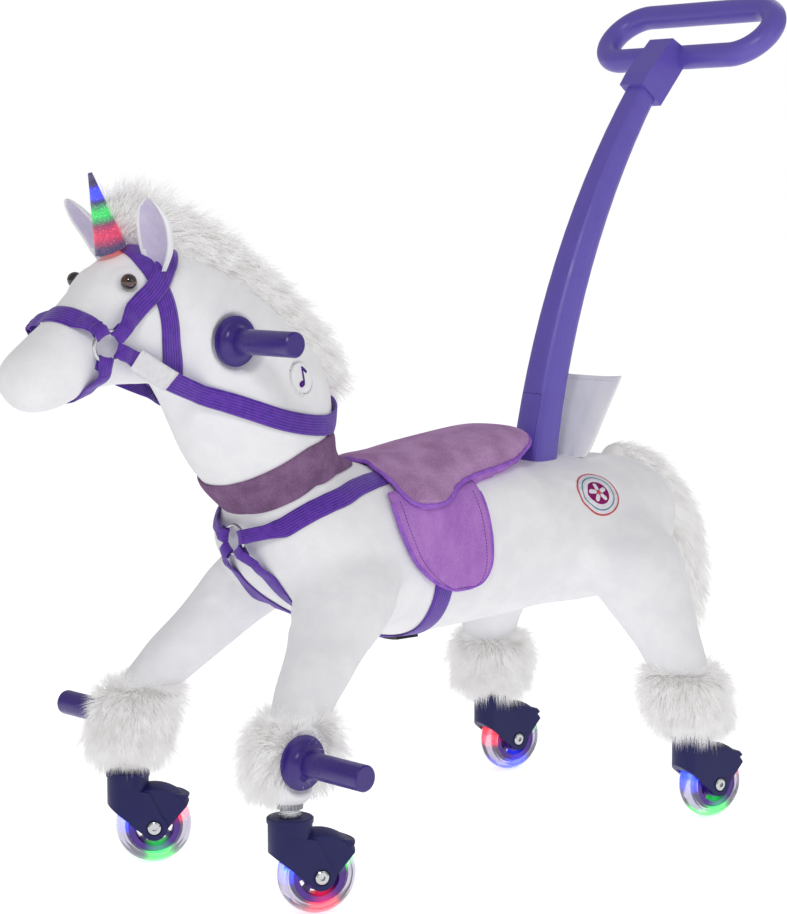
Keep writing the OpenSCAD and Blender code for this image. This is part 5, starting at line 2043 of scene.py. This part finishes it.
@dataclass
class Harness:
    """Girth, breast straps with the chest ring, and the padded neck collar."""

    girth_x: float = 31.0
    girth_sweep: float = 14.0
    girth_span: tuple = (84.0, 276.0)
    girth_width: float = 0.025
    girth_steps: int = 40
    # X of the chest ring and its height over the spine
    ring_at: tuple = (229.3, 58.0)
    # Pairs of X and angle on the torso
    breast: tuple = ((219.5, 66), (214, 63), (206, 61), (166, 56), (120, 44), (88, 35), (76, 31))
    chest: tuple = ((219, 148), (212, 154), (188, 161), (156, 165), (90, 171), (22, 174))
    chest_width: float = 0.017
    sewn_at: float = 0.036
    # Station of the collar on the neck, how far it dips in front, and the angle of its seam
    collar_station: float = 2.6
    collar_dip: float = 1.25
    collar_seam: float = 16.0
    collar_height: float = 0.044
    collar_pad: float = 0.0045
    collar_lift: float = 0.0012
    collar_steps: int = 120
    collar_rows: int = 14
    collar_reach: float = 0.05
    # The seam's half width in degrees and its depth, the folds' depth and the least padding
    seam_width: float = 2.4
    seam_depth: float = 0.004
    fold_depth: float = 0.0009
    least_pad: float = 0.0004
    # Radius and height of the ring of noise that shapes the folds
    fold_ring: tuple = (2.2, 3.1)

    def build(self, shop: Shop, skin: Surface) -> None:
        """Lays the straps and the collar.

        Args:
            shop: The shared finishes.
            skin: The plush skin.
        """
        girth = [
            (self.girth_x + self.girth_sweep * math.cos(math.radians(a)), a)
            for a in np.linspace(*self.girth_span, self.girth_steps)
        ]
        band = Strap(*laid_path(TORSO, girth, 2), width=self.girth_width, across=11)
        dressed(strap_object("girth_webbing", [band], skin, shop.webbing), "webbing", "girth_strap")
        ring, axis = place(self.ring_at[0], 0, SPINE_Z + self.ring_at[1]), np.array([1.0, 0.0, 0.0])
        straps = []
        for side in Side:
            high = Strap(*laid_path(TORSO, self.breast, side=side))
            low = Strap(*laid_path(TORSO, self.chest, side=side), width=self.chest_width)
            straps += [strap.hook(True, ring, axis) for strap in (high, low)]
        dressed(strap_object("breast_webbing", straps, skin, shop.webbing), "webbing", "breast_straps")
        seams = [strap.seam(self.sewn_at) for strap in straps]
        sew("breast_stitches", seams, Stitch(), shop.thread, "webbing")
        self.collar(shop, skin)

    def collar(self, shop: Shop, skin: Surface) -> None:
        """Padded velour collar round the foot of the neck, seamed at the front.

        Args:
            shop: The shared finishes.
            skin: The plush skin.
        """
        steps, rows = self.collar_steps, self.collar_rows
        at = np.linspace(0, 360, steps, endpoint=False)
        turn = np.radians(at)
        stations = self.collar_station + self.collar_dip * np.minimum(0.0, np.cos(turn))
        p = np.array([NECK.on(s, a) for s, a in zip(stations, at)])
        out = np.array([NECK.outward(s, a) for s, a in zip(stations, at)])
        along = unit(np.roll(p, -1, axis=0) - np.roll(p, 1, axis=0))
        side = unit(np.cross(along, out))
        v = np.linspace(-1, 1, rows)
        pad = self.collar_pad * np.sqrt(np.maximum(0.0, 1 - np.abs(v) ** 3.0))
        ring, row = self.fold_ring
        fold = [noise.noise(Vector((ring * math.cos(t), ring * math.sin(t), row))) for t in turn]
        seam = np.minimum(np.abs(at - self.collar_seam), np.abs(360 - at + self.collar_seam))
        dent = self.seam_depth * np.exp(-((seam / self.seam_width) ** 2))
        dent = dent + self.fold_depth * np.maximum(0.0, fold)
        top, low = np.zeros((steps, rows, 3)), np.zeros((steps, rows, 3))
        for i in range(steps):
            for k in range(rows):
                spot = p[i] + side[i] * v[k] * self.collar_height / 2
                base, normal = skin.drop(spot, out[i], self.collar_reach)
                away = unit(normal + out[i])
                top[i, k] = base + away * (self.collar_lift + max(pad[k] - dent[i], self.least_pad))
                low[i, k] = base + away * self.collar_lift / 2
        loop = np.concatenate([top, low[:, ::-1]], axis=1)
        faces = ring_faces(steps, 2 * rows, closed=True)
        piece = new_object("collar_velour", loop.reshape(-1, 3), faces, shop.collar)
        relax(piece.data, 2, 0.4)
        dressed(piece, "velour", "neck_collar")


# Rows of the seat: X, plan half width, heights of crown and edge over the spine, in millimetres
SEAT = [
    (88, 40, 124, 115), (86, 58, 125, 105), (80, 76, 126, 92), (70, 88, 126, 86), (54, 93, 127, 83),
    (28, 93, 129, 85), (0, 86, 133, 99), (-32, 80, 138, 106), (-94, 68, 146, 113), (-130, 54, 146, 122),
    (-156, 34, 143, 132), (-166, 12, 140, 138),
]  # fmt: skip
# Outline of a flap: height, front X and rear X in millimetres
FLAP = [
    (376, 93, -26), (360, 93, -28), (344, 91, -31), (326, 83, -34), (312, 74, -35.5), (300, 61, -35),
    (289, 45, -31), (281, 26, -23), (277.5, 10, -9),
]  # fmt: skip


@dataclass
class Saddle:
    """Velour seat with lilac piping over two felt flaps."""

    cols: int = 28
    row_steps: int = 8
    crown_square: float = 2.6
    # How far the seat's sides splay from its crown, and how far below it the skin may lie
    splay: float = 0.9
    reach: float = 0.06
    # Clearance of the seat over the skin and over a flap, and where along X and from what share a flap lies
    over_skin: float = 0.005
    over_flap: float = 0.0088
    flap_under: tuple = (-40.0, 96.0)
    flap_share: float = 0.6
    sunk: float = 0.0015
    voxel: float = 0.004
    shrink: float = 0.001
    stuffed: float = 0.005
    piping: Cord = Cord(0.0022, 0.004)
    # Share of its radius by which the piping stands off the seat
    piping_off: float = 0.3
    # Felt starts this far below the piping on faces that lean this much, and on all that face down
    felt_below: float = 0.001
    felt_lean: float = 0.55
    felt_down: float = -0.2
    flap_cols: int = 24
    flap_aim: tuple = (0.0, 1.0, 0.15)
    # Largest share of the torso's half height at which a flap is laid
    flap_high: float = 0.98
    flap_gap: float = 0.0034
    flap_thick: float = 0.0028
    binding: Cord = Cord(0.0021, 0.003)
    stitch: Stitch = Stitch(0.0034, 0.0026, 0.0007)
    stitch_lift: float = 0.0002
    stitch_step: float = 0.003

    def build(self, shop: Shop, skin: Surface) -> None:
        """Stuffs the seat, trims its edge and hangs the flaps.

        Args:
            shop: The shared finishes.
            skin: The plush skin.
        """
        top, low = self.cushion(skin)
        rim = np.array([*top[0, ::-1], *top[1:-1, 0], *top[-1], *top[-2:0:-1, -1]])
        seat = new_object("saddle_seat_velour", *slab(top, low), shop.velour, shop.felt)
        remesh(seat, self.voxel)
        relax(seat.data, 3, 0.4)
        set_coords(seat.data, coords(seat.data) - normals(seat.data) * self.shrink)
        swell(seat, self.stuffed)
        relax(seat.data, 2, 0.4)
        subdivide(seat)
        closed = evenly(np.vstack([rim, rim[:1]]), self.piping.step)[:-1]
        edge = Surface(seat).hug(closed, self.piping_off * self.piping.radius)
        # Velour above the piping, felt below it
        for face in seat.data.polygons:
            by = edge[np.argmin(np.linalg.norm(edge - np.array(face.center), axis=1))]
            below = face.center.z < by[2] - self.felt_below and face.normal.z < self.felt_lean
            face.material_index = int(below or face.normal.z < self.felt_down)
        dressed(seat, "velour", "saddle_seat")
        tree = piping_tree(shop.trim)
        cord = polyline("saddle_piping", [(edge, None, True)])
        dressed(run_tree(cord, tree, named(self.piping)), "felt")
        for side in Side:
            self.flap(shop, skin, side, tree)
        bpy.data.node_groups.remove(tree)

    def cushion(self, skin: Surface) -> tuple[np.ndarray, np.ndarray]:
        """The seat's upper and lower grid of points.

        Args:
            skin: The plush skin that the seat lies on.

        Returns:
            Both grids, rows by columns by 3.
        """
        rows = smooth(SEAT, self.row_steps)
        top = np.zeros((len(rows), self.cols + 1, 3))
        low = np.zeros_like(top)
        for i, (x, half, crown, edge) in enumerate(rows):
            on_flap = self.flap_under[0] < x < self.flap_under[1]
            for k, share in enumerate(np.linspace(-1, 1, self.cols + 1)):
                rise = crown - (crown - edge) * abs(share) ** self.crown_square
                high = place(x, half * share, SPINE_Z + rise)
                away = unit(np.array([0.0, self.splay * share * abs(share), 1.0]))
                bed = skin.drop(high, away, self.reach)[0]
                spare = self.over_flap if on_flap and abs(share) > self.flap_share else self.over_skin
                top[i, k] = high + away * max(0.0, spare - float(np.dot(high - bed, away)))
                low[i, k] = bed - away * self.sunk
        return top, low

    def flap(self, shop: Shop, skin: Surface, side: Side, tree: NodeTree) -> None:
        """One felt flap with a bound and stitched edge.

        Args:
            shop: The shared finishes.
            skin: The plush skin.
            side: The flap's side.
            tree: The piping tree.
        """
        outline, cols = smooth(FLAP, 3), self.flap_cols
        grid = np.zeros((len(outline), cols + 1, 3))
        away = np.zeros_like(grid)
        out = side.turned(unit(np.array(self.flap_aim)))
        for i, (z, front, rear) in enumerate(outline):
            for k in range(cols + 1):
                s = TORSO.station(front + (rear - front) * k / cols)
                centre, up, _ = TORSO.between(s)
                lean = min(self.flap_high, max(-self.flap_high, (z * MM - centre[2]) / up[2]))
                spot = side.turned(TORSO.on(s, math.degrees(math.acos(lean))))
                point, normal = skin.drop(spot, out)
                grid[i, k], away[i, k] = point + normal * self.flap_gap, normal
        name = f"saddle_flap_{side.name.lower()}"
        flap = new_object(name, *slab(grid + away * self.flap_thick, grid), shop.felt)
        dressed(flap, "felt", "saddle_flaps")
        middle = grid + away * self.flap_thick / 2
        border = np.array([*middle[2:, 0], *middle[-1, 1:], *middle[-2:1:-1, -1]])
        rim = polyline(f"{name}_binding", [(evenly(border, self.binding.step), None, False)])
        dressed(run_tree(rim, tree, named(self.binding)), "felt")
        face = np.concatenate([grid + away * (self.flap_thick + self.stitch_lift), away], axis=2)
        sewn = evenly([*face[2:-2, 2], *face[-3, 3:-3], *face[-3:1:-1, -3]], self.stitch_step)
        run = (sewn[:, :3], sewn[:, 3:], False)
        line = sew(f"{name}_stitches", [run], self.stitch, shop.thread, "felt")


# Rows of the pole flap: X, height over the spine, half depth and half width in millimetres
POLE_FLAP = [
    (-240, 106, 7, 30), (-246, 118, 8, 36), (-262, 155, 8.5, 42), (-276, 184, 6, 46), (-281.5, 194, 3.4, 46),
]  # fmt: skip


@dataclass
class PoleFlap:
    """White plush cover flap that stands behind the push pole."""

    cols: int = 30
    edge: float = 1.6
    # Depth, middle and half width of each crease, in millimetres and shares of the half width
    creases: tuple = ((1.6, 0.35, 0.12), (1.3, -0.4, 0.14))
    wave: float = 1.4
    stuffed: float = 0.0015
    pressure: float = 1.5
    # Share of the height that the hem is sewn at, and how far out it goes
    hem: float = 0.84
    hem_reach: float = 0.93
    stitch: Stitch = Stitch(0.004, 0.003, 0.0009)

    def point(self, row: np.ndarray, up: float, v: float, face: int) -> np.ndarray:
        """A point of the flap.

        Args:
            row: The row's numbers, as in POLE_FLAP.
            up: The row's share of the height.
            v: Share of the half width, from -1 to 1.
            face: 1 for the front, -1 for the back.

        Returns:
            The point in metres.
        """
        x, h, deep, half = row
        puff = deep * (1 - abs(v) ** 3) * 0.72 + self.edge
        crease = sum(d * (1 - up) * math.exp(-(((v - at) / wide) ** 2)) for d, at, wide in self.creases)
        wave = self.wave * math.sin(3.1 * v + 2.0 * up) * up
        return place(x + face * max(puff - crease, 0.5) + wave, half * v, SPINE_Z + h + 1.2 * abs(v) ** 4)

    def build(self, shop: Shop) -> None:
        """Sews the flap with its hem.

        Args:
            shop: The shared finishes.
        """
        rows = smooth(POLE_FLAP, 8)
        ups, shares = np.linspace(0, 1, len(rows)), np.linspace(-1, 1, self.cols + 1)
        front, back = (
            np.array([[self.point(row, up, v, face) for v in shares] for row, up in zip(rows, ups)])
            for face in (1, -1)
        )
        flap = new_object("pole_flap_plush", *slab(front, back), shop.plush)
        relax(flap.data, 1, 0.3)
        swell(flap, self.stuffed, self.pressure)
        subdivide(flap)
        dressed(flap, "plush", "pole_flap")
        skin = Surface(flap)
        x, h, _, half = rows[int(len(rows) * self.hem)]
        runs = []
        for face in (1, -1):
            out = np.array([float(face), 0.0, 0.0])
            shares = np.linspace(-self.hem_reach, self.hem_reach, 40)
            sewn = [skin.drop(place(x, half * v, SPINE_Z + h), out) for v in shares]
            runs.append((np.array([spot for spot, _ in sewn]), np.array([way for _, way in sewn]), False))
        sew("pole_flap_stitches", runs, self.stitch, shop.lining, "plush")


@dataclass
class Badges:
    """Embroidered flower on the rump and the sound button's mark on the neck."""

    # Place of the flower, the way it faces and how far the skin may lie from that place
    flower_at: tuple = (-212.0, 82.0, 359.0)
    flower_aim: tuple = (0.0, 0.8, 0.6)
    flower_reach: float = 0.06
    flower_radius: float = 0.0265
    petals: int = 5
    petal_height: float = 0.0028
    # Shares of the flower's radius: a petal's distance, its mean radius and its stretch, and the eye's radius
    petal_off: float = 0.27
    petal_size: float = 0.135
    petal_stretch: float = 0.045
    eye_size: float = 0.1
    eye_height: float = 0.0034
    # The sound button's radius, its height over the neck, its depth and the neck's curve in it
    button_radius: float = 0.0149
    button_lift: float = 0.0004
    button_depth: float = 0.0054
    neck_curve: float = 3.25
    button_sides: int = 64
    button_rings: int = 8
    note_height: float = 0.0009
    # Mean radius, stretch and lean of the note's head
    note_head: tuple = (0.0034, 0.0007, 0.5)

    @staticmethod
    def patch(
        name: str,
        frame: tuple[np.ndarray, np.ndarray, np.ndarray, np.ndarray],
        rim: Callable[[float], float],
        height: float,
        base: Callable[[np.ndarray], np.ndarray],
        finish: Material,
        offset: tuple[float, float] = (0.0, 0.0),
    ) -> Object:
        """A low embroidered dome inside a closed outline.

        Args:
            name: Object name.
            frame: Centre, right, up and outward directions.
            rim: Outline radius by angle in radians.
            height: Height of the dome.
            base: Drops a point to the cloth.
            finish: Thread material.
            offset: Place of the patch's middle along right and up.

        Returns:
            The object.
        """
        centre, right, up, out = frame
        sunk, sides, shares = 0.0006, 40, (0.2, 0.4, 0.6, 0.8, 0.985, 1.0)
        verts = []
        for share in shares:
            lift = height * (1 - 0.25 * share**6) if share < 1 else -sunk
            for k in range(sides):
                t = 2 * math.pi * k / sides
                x, y = offset[0] + rim(t) * share * math.cos(t), offset[1] + rim(t) * share * math.sin(t)
                verts.append(base(centre + right * x + up * y) + out * lift)
        middle = base(centre + right * offset[0] + up * offset[1])
        verts += [middle + out * height, middle - out * sunk]
        n = len(shares) * sides
        faces = [(n, k, (k + 1) % sides) for k in range(sides)]
        faces += ring_faces(len(shares), sides)
        faces += [(n + 1, n - sides + (k + 1) % sides, n - sides + k) for k in range(sides)]
        return new_object(name, np.array(verts), faces, finish)

    def build(self, shop: Shop, skin: Surface) -> None:
        """Sews both marks.

        Args:
            shop: The shared finishes.
            skin: The plush skin.
        """
        aim = unit(np.array(self.flower_aim))
        spot, out = skin.drop(place(*self.flower_at), aim, self.flower_reach)
        frame = self.upright(spot, out)
        r, off = self.flower_radius, self.petal_off * self.flower_radius

        def on_skin(p: np.ndarray) -> np.ndarray:
            """p dropped on the rump."""
            return skin.drop(p, out)[0]

        # Discs laid one on the other: share of the radius, height and thread
        rings = {
            "badge_edge": (1.0, 0.0009, shop.coral),
            "badge_field": (0.94, 0.0012, shop.pale),
            "badge_ring": (0.8, 0.0015, shop.teal),
            "badge_inner": (0.74, 0.0018, shop.pale),
            "badge_disc": (0.57, 0.0021, shop.plum),
        }
        for name, (share, height, finish) in rings.items():
            disc = self.patch(name, frame, lambda t, share=share: r * share, height, on_skin, finish)
            dressed(disc, "felt")
        for k in range(self.petals):
            turn = math.radians(90) + 2 * math.pi * k / self.petals
            petal = self.patch(
                f"badge_petal_{k}",
                frame,
                lambda t, a=turn: r * (self.petal_size + self.petal_stretch * math.cos(2 * (t - a))),
                self.petal_height,
                on_skin,
                shop.pale,
                (off * math.cos(turn), off * math.sin(turn)),
            )
            dressed(petal, "felt")
        size, height = r * self.eye_size, self.eye_height
        dressed(self.patch("badge_eye", frame, lambda t: size, height, on_skin, shop.coral), "felt")
        self.sound(shop)

    @staticmethod
    def upright(centre: np.ndarray, out: np.ndarray) -> tuple:
        """The frame of a mark: centre, right, up and outward directions."""
        right = unit(np.cross(np.array([0.0, 0.0, 1.0]), out))
        return centre, right, np.cross(out, right), out

    def sound(self, shop: Shop) -> None:
        """Plush-covered sound button with an embroidered note.

        Args:
            shop: The shared finishes.
        """
        frame = self.upright(NECK.on(*SOUND_AT), NECK.outward(*SOUND_AT))
        centre, right, up, out = frame
        sides, rings = self.button_sides, self.button_rings

        def covered(p: np.ndarray) -> np.ndarray:
            """p raised to the neck's own curve.

            Args:
                p: A point near the button.

            Returns:
                The raised point.
            """
            flat = p - out * np.dot(p - centre, out)
            off = flat - centre
            return flat + out * (self.button_lift - self.neck_curve * float(off[0] ** 2 + off[2] ** 2))

        turns = 2 * np.pi * np.arange(sides) / sides
        ways = [right * math.cos(t) + up * math.sin(t) for t in turns]
        radii = self.button_radius * np.arange(rings + 1) / rings
        verts = [covered(centre + way * r) for r in radii for way in ways]
        verts += [centre + way * self.button_radius - out * self.button_depth for way in ways]
        faces = ring_faces(rings + 2, sides) + flat_ends(rings + 2, sides)[1:]
        button = new_object("sound_button_plush", np.array(verts), faces, shop.plush)
        work = bmesh.new()
        work.from_mesh(button.data)
        bmesh.ops.remove_doubles(work, verts=work.verts, dist=1e-6)
        bmesh.ops.recalc_face_normals(work, faces=work.faces)
        work.to_mesh(button.data)
        work.free()
        for face in button.data.polygons:
            face.use_smooth = float(np.dot(np.array(face.normal), out)) > 0.5
        dressed(button, "felt", "sound_button", body="sound_key")

        def head(t: float) -> float:
            """Outline of the note's leaning head."""
            size, stretch, lean = self.note_head
            return size + stretch * math.cos(2 * (t - lean))

        def bar(long: float, wide: float, lean: float) -> Callable[[float], float]:
            """Outline of a rounded bar with its half sizes and lean.

            Args:
                long: Half length.
                wide: Half width.
                lean: Lean in radians.

            Returns:
                Radius by angle in radians.
            """
            return lambda t: (
                1 / ((abs(math.cos(t - lean)) / long) ** 4 + (abs(math.sin(t - lean)) / wide) ** 4) ** 0.25
            )

        # The note's pieces with their outlines and their places on the button
        marks = [
            ("sound_note_head", head, (-0.0026, -0.0062)),
            ("sound_note_stem", bar(0.0088, 0.00085, math.pi / 2), (0.0008, 0.0014)),
            ("sound_note_flag", bar(0.0042, 0.0014, -0.75), (0.0036, 0.0074)),
        ]
        for name, rim, spot in marks:
            mark = self.patch(name, frame, rim, self.note_height, covered, shop.thread, spot)
            dressed(mark, "felt", body="sound_key")


@dataclass
class HornAndEyes:
    """Lit horn and button eyes, both CAD solids with their finishes."""

    horn_foot: tuple = (370.0, 0.0, SPINE_Z + 336.0)
    horn_lean: float = 18.0
    # Each lamp's height in the horn and the reach of its glow, in millimetres
    lamps: tuple = ((Lamp.RED, 18.0, 18.5), (Lamp.GREEN, 38.0, 14.5), (Lamp.BLUE, 57.0, 10.5))

    def dress(self, nodes: dict[str, Object]) -> None:
        """Gives the horn, its lamps and the eyes their finishes.

        Args:
            nodes: The CAD nodes by name.
        """
        a = math.radians(self.horn_lean)
        foot, axis = place(*self.horn_foot), np.array([math.sin(a), 0, math.cos(a)])
        lit = tuple((lamp, foot + axis * h * MM, reach * MM) for lamp, h, reach in self.lamps)
        # Smoky translucent horn with glitter, lit red, green and blue from foot to tip
        horn = {"strength": 2.4, "transmission": 0.3, "roughness": 0.3, "glitter": 0.5}
        cover(nodes["horn"], GlowFinish("horn", lit, "#5E567E", **horn).make())
        # Small coloured lamps
        lamp = {"strength": 6.0, "transmission": 0.0, "roughness": 0.3}
        cover(nodes["horn_lights"], GlowFinish("horn_lamp", lit, "#F2F2F2", **lamp).make())
        centre, out = eye_place(Side.LEFT)
        # Polished brown button eye
        cover(nodes["eyes"], EyeFinish("eye", tuple(centre), tuple(out)).make())


def cover(obj: Object, finish: Material) -> None:
    """Gives a CAD node its one finish."""
    obj.data.materials.clear()
    obj.data.materials.append(finish)


@dataclass
class Caster:
    """One caster: fork, bolt, bearings, core, clear tyre and its lamps."""

    corner: Corner
    colors: tuple
    trail: float = 25.6
    wheel_radius: float = 38.0
    lamp_radius: float = 27.0
    lamp_turns: tuple = (20.0, 140.0, 260.0)
    glow: float = 0.021

    def dress(self, shop: Shop, nodes: dict[str, Object]) -> None:
        """Gives the caster's CAD solids their finishes.

        Args:
            shop: The shared finishes.
            nodes: The CAD nodes by name.
        """
        x, y, rest = self.corner.value
        a = math.radians(rest)
        ahead = np.array([math.cos(a), math.sin(a), 0.0])
        hub = place(x, y, self.wheel_radius) - ahead * self.trail * MM
        spokes = [ahead * math.cos(t) + np.array([0, 0, math.sin(t)]) for t in np.radians(self.lamp_turns)]
        lamps = tuple(
            (lamp, hub + self.lamp_radius * MM * spoke, self.glow) for lamp, spoke in zip(self.colors, spokes)
        )
        name = self.corner.prefix
        cover(nodes[f"{name}_fork"], shop.fork)
        cover(nodes[f"{name}_axle"], shop.nickel)
        cover(nodes[f"{name}_bearings"], shop.nickel)
        # Purple polypropylene core, lit at its rim by the lamps
        core = {"strength": 0.9, "transmission": 0.0, "roughness": 0.25}
        cover(nodes[f"{name}_wheel_core"], GlowFinish(f"{name}_core", lamps, "#5B2F9E", **core).make())
        # Clear cast urethane tyre that carries the lamps' colours
        tyre = {"strength": 2.4, "transmission": 0.9, "roughness": 0.07}
        cover(nodes[f"{name}_tyre"], GlowFinish(f"{name}_tyre", lamps, "#D2CDDF", **tyre).make())
        # Coloured lamps in the rim
        lamp = {"strength": 8.0, "transmission": 0.0, "roughness": 0.3}
        cover(nodes[f"{name}_wheel_lights"], GlowFinish(f"{name}_lamp", lamps, "#F2F2F2", **lamp).make())


WHEEL_LAMPS = {
    Corner.FRONT_LEFT: (Lamp.BLUE, Lamp.GREEN, Lamp.RED),
    Corner.FRONT_RIGHT: (Lamp.BLUE, Lamp.RED, Lamp.GREEN),
    Corner.REAR_LEFT: (Lamp.BLUE, Lamp.RED, Lamp.GREEN),
    Corner.REAR_RIGHT: (Lamp.RED, Lamp.GREEN, Lamp.BLUE),
}


@dataclass
class Hardware:
    """Frame, grips, pegs, rings and the push handle, all CAD solids."""

    def dress(self, shop: Shop, nodes: dict[str, Object]) -> None:
        """Gives the hard pieces their finishes.

        Args:
            shop: The shared finishes.
            nodes: The CAD nodes by name.
        """
        finishes = {
            "main_frame": shop.steel,
            "leg_tubes": shop.steel,
            "handle_socket": shop.fork,
            "sound_module": shop.fork,
            "caster_stems": shop.nickel,
            "strap_rings": shop.nickel,
            "hand_grips": shop.grip,
            "foot_pegs": shop.grip,
            "push_pole": shop.pole,
            "loop_handle": shop.pole,
            "pole_latch": shop.pole,
            "girth_buckle": shop.buckle,
        }
        for name, finish in finishes.items():
            cover(nodes[name], finish)


@dataclass
class Studio:
    """White paper studio with the photo's camera."""

    eye: tuple = (1.67114, 1.7811, 0.65535)
    right: tuple = (-0.73171, 0.68162, 0.0)
    up: tuple = (-0.07018, -0.07534, 0.99468)
    lens: float = 93.8
    # Each soft box's place, size and power
    boxes: tuple = (
        ("key", (1.75, 1.45, 2.1), 0.6, 16.0),
        ("fill", (-0.3, 2.7, 1.5), 1.8, 6.0),
        ("rim", (-1.8, -0.6, 2.0), 1.2, 4.0),
    )
    surroundings: float = 0.41
    floor_half: float = 30.0
    floor_gap: float = 0.0005

    def build(self) -> None:
        """Lights, floor, world and camera."""
        scene = bpy.context.scene
        scene.view_settings.view_transform = "Standard"
        self.camera(scene)
        self.floor()
        self.world(scene)
        for box in self.boxes:
            self.light(*box)

    def camera(self, scene: Scene) -> None:
        """The photo's viewpoint.

        Args:
            scene: The scene.
        """
        data = bpy.data.cameras.new("camera")
        data.lens = self.lens
        data.sensor_width = 36.0
        camera = bpy.data.objects.new("camera", data)
        scene.collection.objects.link(camera)
        right, up = Vector(self.right), Vector(self.up)
        back = right.cross(up)
        turn = Matrix((right, up, back)).transposed().to_4x4()
        camera.matrix_world = Matrix.Translation(Vector(self.eye)) @ turn
        scene.camera = camera

    def floor(self) -> None:
        """A wide sheet of white paper under the wheels."""
        far, low = self.floor_half, -self.floor_gap
        verts = np.array([[-far, -far, low], [far, -far, low], [far, far, low], [-far, far, low]])
        # White seamless paper, bright to the camera
        new_object("floor", verts, [(0, 1, 2, 3)], FloorFinish("paper").make())

    def world(self, scene: Scene) -> None:
        """Even white surroundings, pure white to the camera.

        Args:
            scene: The scene.
        """
        world = bpy.data.worlds.new("studio")
        world.use_nodes = True
        tree = world.node_tree
        tree.nodes.clear()
        seen = add(tree, "ShaderNodeLightPath", out="Is Camera Ray")
        strength = add(tree, "ShaderNodeMix", {0: seen, 2: self.surroundings, 3: 1.0}, data_type="FLOAT")
        sky = add(tree, "ShaderNodeBackground", {"Color": (1.0, 1.0, 1.0, 1.0), "Strength": strength})
        add(tree, "ShaderNodeOutputWorld", {"Surface": sky})
        scene.world = world

    @staticmethod
    def light(name: str, spot: tuple, size: float, power: float) -> None:
        """A soft box aimed at the body.

        Args:
            name: The light's name.
            spot: Its place.
            size: Its diameter.
            power: Its power in watts.
        """
        data = bpy.data.lights.new(name, "AREA")
        data.shape = "DISK"
        data.size = size
        data.energy = power
        lamp = bpy.data.objects.new(name, data)
        bpy.context.scene.collection.objects.link(lamp)
        lamp.location = spot
        lamp.rotation_mode = "QUATERNION"
        lamp.rotation_quaternion = (Vector((0.0, 0.0, 0.35)) - Vector(spot)).to_track_quat("-Z", "Y")


def main() -> None:
    """Builds every sub-assembly on the frame and sets up the picture."""
    logging.basicConfig(level=logging.INFO, format="%(message)s")
    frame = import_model()
    nodes = frame["nodes"]
    shop = Shop.stocked()
    body = PlushBody()
    body.build(shop, nodes["leg_tubes"])
    body.ears(shop)
    skin = body.surface
    FurTrim().build(shop)
    Bridle().build(shop, skin)
    Harness().build(shop, skin)
    Saddle().build(shop, skin)
    PoleFlap().build(shop)
    Badges().build(shop, skin)
    HornAndEyes().dress(nodes)
    Hardware().dress(shop, nodes)
    for corner, colors in WHEEL_LAMPS.items():
        Caster(corner, colors).dress(shop, nodes)
    Studio().build()


if __name__ == "__main__":
    main()
